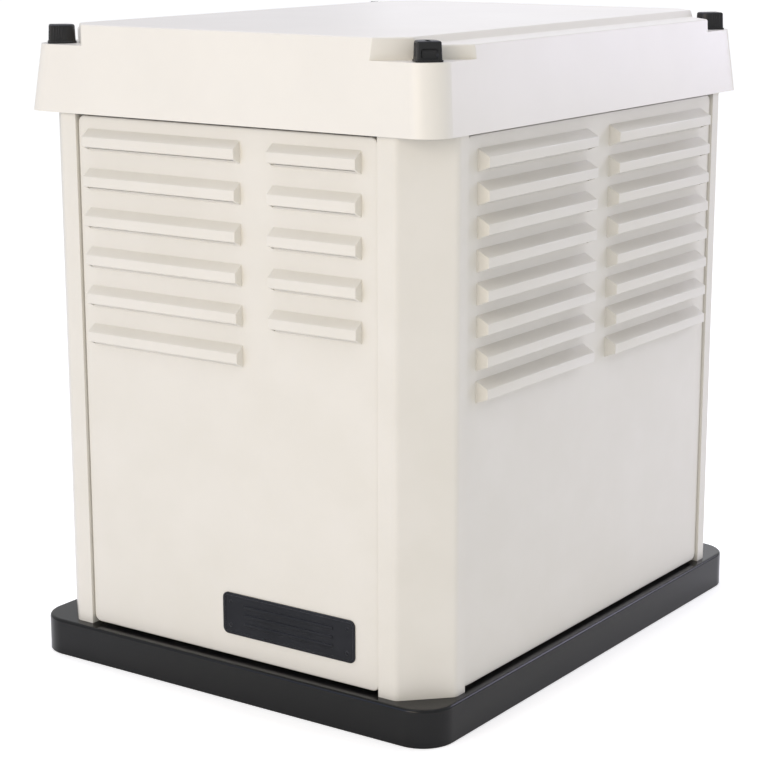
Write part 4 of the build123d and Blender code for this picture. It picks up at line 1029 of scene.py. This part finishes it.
def grid_of_parts_tree() -> GeometryTree:
    """Builds the tree that adds a grid of one small part to a piece.

    Returns:
        The tree. Its inputs are the part, the columns and rows, the grid's width and
        height, its middle, its turn and the finish.
    """
    made = GeometryTree(
        "grid_of_parts",
        Piece="Geometry",
        Part="Object",
        Columns="Int",
        Rows="Int",
        Width="Float",
        Height="Float",
        Middle="Vector",
        Turn="Vector",
        Finish="Material",
    )
    given = made.inputs
    size = {"Size X": given["Width"], "Size Y": given["Height"]}
    grid = made.node("MeshGrid", size | {"Vertices X": given["Columns"], "Vertices Y": given["Rows"]})
    place = {"Geometry": grid, "Translation": given["Middle"], "Rotation": given["Turn"]}
    parts = made.scattered(made.node("Transform", place), "Part", Rotation=given["Turn"])
    made.close(made.node("JoinGeometry", {0: [given["Piece"], parts]}))
    return made


@dataclass(frozen=True)
class Grid:
    """A grid of small parts: its middle, its size, its counts and the turn of its plane."""

    middle: Point3
    width: float
    height: float
    columns: int = 2
    rows: int = 2
    turn: Point3 = (0.0, 0.0, 0.0)

    def values(self, part: bpy.types.Object, finish: bpy.types.Material) -> dict[str, object]:
        """Gives the inputs of the grid's tree.

        Args:
            part: the small part, its foot at the origin and its head towards +Z.
            finish: the part's material.

        Returns:
            Each named input's value.
        """
        return {
            "Part": part,
            "Columns": self.columns,
            "Rows": self.rows,
            "Width": self.width,
            "Height": self.height,
            "Middle": self.middle,
            "Turn": self.turn,
            "Finish": finish,
        }


FACING_FRONT = (math.tau / 4, 0.0, 0.0)
SIXTH = math.tau / 6


@dataclass
class HexScrew:
    """A flanged hexagon head."""

    across: float = 8 * MM
    flange: float = 5.5 * MM
    flange_height: float = 1.0 * MM
    height: float = 4.5 * MM
    chamfer: float = 0.6 * MM
    rim_share: float = 0.6
    corner_cut: float = 1.12
    steps: int = 24

    def build(self) -> bpy.types.Object:
        """Builds the head, its foot at the origin.

        Returns:
            The head.
        """
        rings = []
        rim_z = self.flange_height * self.rim_share
        round_part = ((self.flange, 0.0), (self.flange, rim_z), (0.0, self.flange_height))
        hexagon = ((0.0, self.height - self.chamfer), (self.chamfer, self.height))
        for step in range(self.steps):
            angle = math.tau * step / self.steps
            sector = (angle + SIXTH / 2) % SIXTH - SIXTH / 2
            flat = self.across / 2 / math.cos(sector)
            radii = [(radius or flat, z) for radius, z in round_part]
            radii += [(min(flat, self.across / 2 * self.corner_cut) - inset, z) for inset, z in hexagon]
            rings.append([Vector((r * math.cos(angle), r * math.sin(angle), z)) for r, z in radii])
        return as_object("hex_screw", loft([list(level) for level in zip(*rings)]))


@dataclass
class Fastening:
    """The screws that hold the top frame to the posts and the bulkhead to its sheet."""

    top_frame_z: float = 761 * MM
    long_pair: Point2 = (251 * MM, 377 * MM)
    side_pair: Point2 = (301 * MM, 331 * MM)
    sheet_margin: float = 12 * MM
    sheet_grid: tuple[int, int] = (5, 2)
    sharp_degrees: float = 30

    def front_grid(self, node: str, margin: float, columns: int, rows: int) -> Grid:
        """Spreads a grid over the front face of a node.

        Args:
            node: the CAD node.
            margin: the distance from the node's edges to the outer screws.
            columns: the screws along X.
            rows: the screws along Z.

        Returns:
            The grid.
        """
        low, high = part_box(node)
        middle = ((low.x + high.x) / 2, low.y, (low.z + high.z) / 2)
        return Grid(
            middle, high.x - low.x - 2 * margin, high.z - low.z - 2 * margin, columns, rows, FACING_FRONT
        )

    def build(self, shop: Paintshop, tree: GeometryTree) -> None:
        """Builds the screws, which all stay with the enclosure.

        Args:
            shop: where the finishes come from.
            tree: the tree that adds a grid of parts.
        """
        screw = HexScrew().build()
        finish = shop.finish("zinc_steel")
        pairs = (self.long_pair, self.side_pair)
        grids = [Grid((0, 0, self.top_frame_z), 2 * x, 2 * y) for x, y in pairs]
        grids.append(self.front_grid("bulkhead", self.sheet_margin, *self.sheet_grid))
        piece = as_object("frame_screws", bmesh.new())
        for grid in grids:
            tree.put_on(piece, grid.values(screw, finish))
        settled(piece, self.sharp_degrees)
        remove(screw)
        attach(piece, "enclosure")
        LOG.info("%s: %d faces", piece.name, len(piece.data.polygons))


@dataclass
class Badge:
    """A plain name plate: a raised rim, three bars in a sunk field and a rivet at each corner."""

    node: str = "badge_plate"
    corner: float = 8 * MM
    rim: float = 3.5 * MM
    field_depth: float = 0.9 * MM
    soft: float = 0.4 * MM
    bar_height: float = 5 * MM
    bar_profile: tuple[Point2, ...] = ((0.0, 0.0), (0.0, 0.6), (0.15, 0.85), (0.4, 1.0))
    bar_pitch: float = 12 * MM
    bar_count: int = 3
    bar_margin: float = 34 * MM
    rivet_margin: float = 12 * MM
    rivet_radius: float = 2.6 * MM
    rivet_rings: int = 4
    rivet_steps: int = 20
    sharp_degrees: float = 40

    def plate(self, half_x: float, half_z: float, thickness: float) -> bpy.types.Object:
        """Builds the plate in the XY plane with its face towards +Z.

        Args:
            half_x: half of the plate's width.
            half_z: half of the plate's height.
            thickness: from its back to its rim.

        Returns:
            The plate.
        """
        field = thickness - self.field_depth
        levels = (
            (0.0, 0.0),
            (0.0, thickness - self.soft),
            (self.soft * ARC_MIDDLE, thickness - self.soft * ARC_MIDDLE),
            (self.soft, thickness),
            (self.rim - self.soft, thickness),
            (self.rim, thickness - self.soft),
            (self.rim + self.soft / 2, field),
            (self.rim + 2 * self.soft, field),
        )
        return stacked("badge", levels, drawn_in(half_x, half_z, self.corner))

    def bar(self, half_x: float, height: float) -> bpy.types.Object:
        """Builds one raised bar with soft edges, its foot at Z = 0.

        Args:
            half_x: half of the bar's length.
            height: how far it stands above the field.

        Returns:
            The bar.
        """
        half = self.bar_height / 2
        levels = [(height * inset, height * z) for inset, z in self.bar_profile]
        return stacked("bar", levels, drawn_in(half_x, half, half))

    def build(self, shop: Paintshop, tree: GeometryTree) -> None:
        """Builds the badge in the place of its CAD node.

        Args:
            shop: where the finishes come from.
            tree: the tree that adds a grid of parts.
        """
        low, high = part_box(self.node)
        half_x = (high.x - low.x) / 2
        half_z = (high.z - low.z) / 2
        thickness = high.y - low.y
        field = thickness - self.field_depth
        finish = shop.finish("badge_dark")
        badge = self.plate(half_x, half_z, thickness)
        bar = self.bar(half_x - self.bar_margin, self.field_depth)
        arc = quarter_arc(self.rivet_rings)[:-1]
        dome = [(self.rivet_radius * math.cos(a), self.field_depth * math.sin(a)) for a in arc]
        rivet = turned("rivet", dome, self.rivet_steps)
        bars = Grid((0, 0, field), 0.0, (self.bar_count - 1) * self.bar_pitch, 1, self.bar_count)
        rivets = Grid((0, 0, field), 2 * (half_x - self.rivet_margin), 2 * (half_z - self.rivet_margin))
        tree.put_on(badge, bars.values(bar, finish))
        tree.put_on(badge, rivets.values(rivet, finish))
        settled(badge, self.sharp_degrees)
        remove(bar, rivet)
        badge.name = self.node + "_face"
        middle = Vector(((low.x + high.x) / 2, high.y, (low.z + high.z) / 2))
        badge.data.transform(Matrix.Translation(middle) @ Euler(FACING_FRONT).to_matrix().to_4x4())
        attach(badge, "front_panel")
        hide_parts(self.node)
        LOG.info("%s: %d faces", badge.name, len(badge.data.polygons))


@dataclass
class Latch:
    """A quarter-turn knob: a flange, a body with a finger scoop and ribs, a stud and its nut.

    It is built about the stud's axis, its grip along +X and the lid's ledge at Z = 0.
    """

    corner_name: str
    side_x: int
    side_y: int
    axis: Point2 = (284.6 * MM, 361.6 * MM)
    radius: float = 16.5 * MM
    grip: float = 21 * MM
    height: float = 23.9 * MM
    corner: float = 3 * MM
    flange: float = 2.4 * MM
    waist: float = 1.2 * MM
    draft: float = 0.8 * MM
    crown: float = 2.5 * MM
    scoop_radius: float = 8 * MM
    scoop_height: float = 9.5 * MM
    scoop_length: float = 21 * MM
    slot: Point2 = (21 * MM, 5 * MM)
    slot_middle: float = 7 * MM
    slot_gap: float = 0.2 * MM
    rib_radius: float = 0.9 * MM
    rib_pitch: float = 3.2 * MM
    stud_radius: float = 4 * MM
    nut_radius: float = 6.8 * MM
    nut_height: float = 4.5 * MM
    soft: float = 0.4 * MM
    cut_soft: float = 2 * MM
    nut_soft: float = 0.5 * MM
    nut_sides: int = 6
    scoop_reach: float = 0.45
    rib_place: float = 0.38
    rib_tip: float = 0.4
    rib_count: int = 4
    back_steps: int = 16
    corner_steps: int = 4
    crown_steps: int = 5
    scoop_steps: int = 40
    stud_steps: int = 32
    rib_steps: int = 12
    sharp_degrees: float = 38

    @property
    def node(self) -> str:
        """The CAD node that this latch stands for, which is also its body."""
        return f"latch_{self.corner_name}"

    def outline(self, inset: float) -> list[Point2]:
        """Draws the knob: a half circle behind and a square grip with round corners.

        Args:
            inset: how far inside the full outline.

        Returns:
            The outline's points, anticlockwise.
        """
        radius = self.radius - inset
        corner = self.corner - inset / 2
        tip = self.grip - inset - corner
        back = [math.tau / 4 + math.pi * step / self.back_steps for step in range(self.back_steps + 1)]
        points = [(radius * math.cos(angle), radius * math.sin(angle)) for angle in back]
        for side, start in ((-1, -math.tau / 4), (1, 0.0)):
            middle = side * (radius - corner)
            for angle in quarter_arc(self.corner_steps):
                turn = start + angle
                points.append((tip + corner * math.cos(turn), middle + corner * math.sin(turn)))
        return points

    def body(self) -> bpy.types.Object:
        """Builds the knob without its scoop.

        Returns:
            The knob.
        """
        soft = self.soft
        levels = [(soft, 0.0), (0.0, soft), (0.0, self.flange - soft), (soft, self.flange)]
        levels += [(self.waist, self.flange), (self.waist, self.flange + soft)]
        shoulder = self.waist + self.draft
        for angle in quarter_arc(self.crown_steps):
            inset = shoulder + self.crown * (1 - math.cos(angle))
            levels.append((inset, self.height - self.crown * (1 - math.sin(angle))))
        levels.append((shoulder + self.crown + soft, self.height))
        return stacked(self.node + "_knob", levels, self.outline)

    def cutters(self) -> list[bpy.types.Object]:
        """Builds the finger scoop in the grip's face and the screwdriver slot on top.

        Returns:
            The two solids to be cut away.
        """
        turn = Matrix.Rotation(math.tau / 4, 4, "X")
        half = self.scoop_length / 2
        soft = self.cut_soft
        radius = self.scoop_radius
        profile = [(radius - soft, -half), (radius, soft - half)]
        profile += [(radius, half - soft), (radius - soft, half)]
        scoop = turned("scoop", profile, self.scoop_steps)
        middle = self.grip + radius * self.scoop_reach
        scoop.data.transform(Matrix.Translation((middle, 0, self.scoop_height)) @ turn)
        length, width = self.slot
        levels = ((0.0, self.height - width / 2), (0.0, self.height + MM))
        slot = stacked("slot", levels, drawn_in(length / 2, width / 2, width / 2 - self.slot_gap))
        slot.data.transform(Matrix.Translation((self.slot_middle, 0, 0)))
        return [scoop, slot]

    def stud(self, depth: float) -> bpy.types.Object:
        """Builds the stud and its nut, which hang below the ledge.

        Args:
            depth: from the ledge to the nut's underside.

        Returns:
            The stud with its nut.
        """
        foot = -depth + self.nut_height / 2
        rod = turned("rod", [(self.stud_radius, foot), (self.stud_radius, self.corner)], self.stud_steps)
        soft = self.nut_soft
        low, high = -depth, self.nut_height - depth
        levels = [(self.nut_radius - soft, low), (self.nut_radius, low + soft)]
        levels += [(self.nut_radius, high - soft), (self.nut_radius - soft, high)]
        return joined("stud", rod, turned("nut", levels, self.nut_sides))

    def build(self, shop: Paintshop, tree: GeometryTree) -> None:
        """Builds the latch and sets it on its body.

        Args:
            shop: where the finishes come from.
            tree: the tree that adds a grid of parts.
        """
        low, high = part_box(self.node)
        ledge = high.z - self.height
        finish = shop.finish("black_plastic")
        knob = self.body()
        helpers = self.cutters()
        for cutter in helpers:
            cut_away(knob, cutter)
        side = self.radius - self.waist - self.draft
        radius = self.rib_radius
        tip = radius * self.rib_tip
        rise = self.height - self.crown - radius
        profile = [(tip, self.flange), (radius, self.flange + radius), (radius, rise), (tip, rise + radius)]
        rib = turned("rib", profile, self.rib_steps)
        length = (self.rib_count - 1) * self.rib_pitch
        ribs = Grid((self.grip * self.rib_place, 0, 0), length, 2 * side, self.rib_count, 2)
        tree.put_on(knob, ribs.values(rib, finish))
        settled(knob, self.sharp_degrees)
        remove(rib, *helpers)
        latch = joined(self.node + "_part", knob, self.stud(ledge - low.z))
        latch.data.materials.append(finish)
        latch.data.shade_smooth()
        latch.data.set_sharp_from_angle(angle=math.radians(self.sharp_degrees))
        spot = Vector((self.side_x * self.axis[0], self.side_y * self.axis[1], ledge))
        turn = Matrix.Rotation(math.atan2(self.side_y, self.side_x), 4, "Z")
        latch.data.transform(Matrix.Translation(spot) @ turn)
        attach(latch, self.node)
        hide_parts(self.node)
        LOG.info("%s: %d faces", latch.name, len(latch.data.polygons))


def latches() -> list[Latch]:
    """The four latches, one in each corner of the lid."""
    corners = (("front_right", 1, -1), ("front_left", -1, -1), ("rear_right", 1, 1), ("rear_left", -1, 1))
    return [Latch(*corner) for corner in corners]


# ---------------------------------------------------------------- base pad


@dataclass
class BasePad:
    """The moulded pad: a slab with a soft rim and four countersunk anchor holes."""

    node: str = "base_pad"
    corner: float = 45 * MM
    rim: float = 4 * MM
    foot: float = 1.5 * MM
    support: float = 1.5 * MM
    rim_steps: int = 6
    corner_steps: int = 24
    anchor: Point2 = (150 * MM, 366 * MM)
    anchor_radius: float = 5.5 * MM
    countersink: float = 1.6 * MM
    drill_steps: int = 48
    sharp_degrees: float = 35

    def slab(self) -> bpy.types.Object:
        """Builds the slab without its holes.

        Returns:
            The slab.
        """
        low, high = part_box(self.node)
        arc = quarter_arc(self.rim_steps)
        levels = [(self.foot * (1 - math.sin(a)), low.z + self.foot * (1 - math.cos(a))) for a in arc]
        levels += [(self.rim * (1 - math.cos(a)), high.z - self.rim * (1 - math.sin(a))) for a in arc]
        levels.append((self.rim + self.support, high.z))
        return stacked("pad_slab", levels, drawn_in(high.x, high.y, self.corner, self.corner_steps))

    def build(self, shop: Paintshop) -> None:
        """Builds the pad in the place of its CAD node.

        Args:
            shop: where the finishes come from.
        """
        low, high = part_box(self.node)
        wide = self.anchor_radius + self.countersink
        profile = [(self.anchor_radius, low.z - MM), (self.anchor_radius, high.z - self.countersink)]
        profile += [(wide, high.z), (wide, high.z + MM)]
        drill = turned("drill", profile, self.drill_steps)
        pad = self.slab()
        tree = drilled_tree()
        values = {
            "Drill": drill,
            "Width": 2 * self.anchor[0],
            "Depth": 2 * self.anchor[1],
            "Finish": shop.finish("pad_black"),
        }
        tree.put_on(pad, values)
        settled(pad, self.sharp_degrees)
        remove(drill)
        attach(pad, "enclosure")
        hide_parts(self.node)
        LOG.info("%s: %d faces", pad.name, len(pad.data.polygons))


def drilled_tree() -> GeometryTree:
    """Builds the tree that drills four holes, one at each corner of a rectangle.

    Returns:
        The tree. Its inputs are the drill, the rectangle's width and depth and the finish.
    """
    made = GeometryTree(
        "four_holes", Slab="Geometry", Drill="Object", Width="Float", Depth="Float", Finish="Material"
    )
    given = made.inputs
    size = {"Size X": given["Width"], "Size Y": given["Depth"], "Vertices X": 2, "Vertices Y": 2}
    drills = made.realized(made.scattered(made.node("MeshGrid", size), "Drill"))
    both = {"Mesh 1": given["Slab"], "Mesh 2": drills}
    made.close(made.node("MeshBoolean", both, operation="DIFFERENCE", solver="MANIFOLD"))
    return made


# ---------------------------------------------------------------- studio


@dataclass(frozen=True)
class Softbox:
    """A large square light that points at the object."""

    name: str
    place: Point2
    height: float
    size: float
    watts: float
    colour: str

    def build(self, target: Vector) -> None:
        """Adds the light, turned to the target.

        Args:
            target: the point that it faces.
        """
        data = bpy.data.lights.new(self.name, "AREA")
        data.shape = "SQUARE"
        data.size = self.size
        data.energy = self.watts
        data.color = linear(self.colour)[:3]
        lamp = bpy.data.objects.new(self.name, data)
        lamp.location = (*self.place, self.height)
        lamp.rotation_euler = (target - lamp.location).to_track_quat("-Z", "Y").to_euler()
        bpy.context.scene.collection.objects.link(lamp)


@dataclass
class Studio:
    """A pale floor, soft lights and the camera."""

    azimuth: float = 34.86
    pitch: float = 13.11
    roll: float = -0.094
    camera_place: tuple[float, float, float] = (1.63556, -2.38785, 1.01509)
    lens_mm: float = 97.9
    floor_half: float = 40.0
    floor_glow: float = 0.08
    floor_white: float = 0.38
    lights: tuple[Softbox, ...] = field(
        default_factory=lambda: (
            Softbox("key", (0.1, -3.6), 1.8, 2.0, 35.0, "FFEED7"),
            Softbox("fill", (-1.2, -3.4), 1.6, 2.0, 11.0, "9ABCFF"),
            Softbox("top", (-0.7, 0.5), 3.4, 2.6, 34.0, "DEDFFF"),
            Softbox("back", (-1.2, 3.6), 2.2, 2.6, 10.0, "F8F8FF"),
            Softbox("rim", (1.3, 1.9), 1.2, 0.9, 10.5, "E1DDFF"),
        )
    )
    sky: str = "FCFDFF"
    sky_strength: float = 0.64

    def floor(self) -> None:
        """Adds the pale floor."""
        built = bmesh.new()
        half = self.floor_half
        corners = ((-half, -half), (half, -half), (half, half), (-half, half))
        built.faces.new([built.verts.new((x, y, 0)) for x, y in corners])
        plane = as_object("studio_floor", built)
        paper = Finish(
            "white_paper", "FBFBFA", "F8F8F7", 0.8, grain_mm=4.0, relief_mm=0.01, mottle_mm=900.0,
            glow=self.floor_glow,
        )
        made = paper.make()
        tree = made.node_tree
        seen = add_node(tree, "ShaderNodeLightPath").outputs["Is Camera Ray"]
        share = {0: seen, 1: self.floor_white, 2: self.floor_glow}
        strength = add_node(tree, "ShaderNodeMath", share, operation="MULTIPLY_ADD")
        surface = next(node for node in tree.nodes if node.type == "BSDF_PRINCIPLED")
        tree.links.new(strength.outputs[0], surface.inputs["Emission Strength"])
        plane.data.materials.append(made)

    def world(self) -> None:
        """Adds the even white surroundings."""
        world = bpy.data.worlds.new("studio")
        world.use_nodes = True
        tree = world.node_tree
        tree.nodes.clear()
        light = {"Color": linear(self.sky), "Strength": self.sky_strength}
        sky = add_node(tree, "ShaderNodeBackground", light)
        add_node(tree, "ShaderNodeOutputWorld", {"Surface": sky.outputs[0]})
        bpy.context.scene.world = world

    def camera(self) -> None:
        """Adds the camera and makes it the scene's."""
        data = bpy.data.cameras.new("camera")
        data.lens = self.lens_mm
        made = bpy.data.objects.new("camera", data)
        made.location = self.camera_place
        turn = Euler((math.radians(90 - self.pitch), 0, math.radians(self.azimuth)), "XYZ").to_matrix()
        made.rotation_euler = (turn @ Matrix.Rotation(math.radians(self.roll), 3, "Z")).to_euler()
        bpy.context.scene.collection.objects.link(made)
        bpy.context.scene.camera = made

    def build(self) -> None:
        """Builds the whole studio."""
        self.camera()
        self.floor()
        self.world()
        low, high = CAD_BOX
        for light in self.lights:
            light.build((low + high) / 2)
        bpy.context.scene.view_settings.view_transform = "Standard"


def main() -> None:
    """Builds the studio, then the generator sub-assembly by sub-assembly."""
    logging.basicConfig(level=logging.INFO, format="%(name)s: %(message)s")
    Studio().build()
    shop = Paintshop()
    shop.dress(frame["nodes"])
    Panels().build(shop)
    BasePad().build(shop)
    tree = grid_of_parts_tree()
    Badge().build(shop, tree)
    for latch in latches():
        latch.build(shop, tree)
    Fastening().build(shop, tree)


if __name__ == "__main__":
    main()
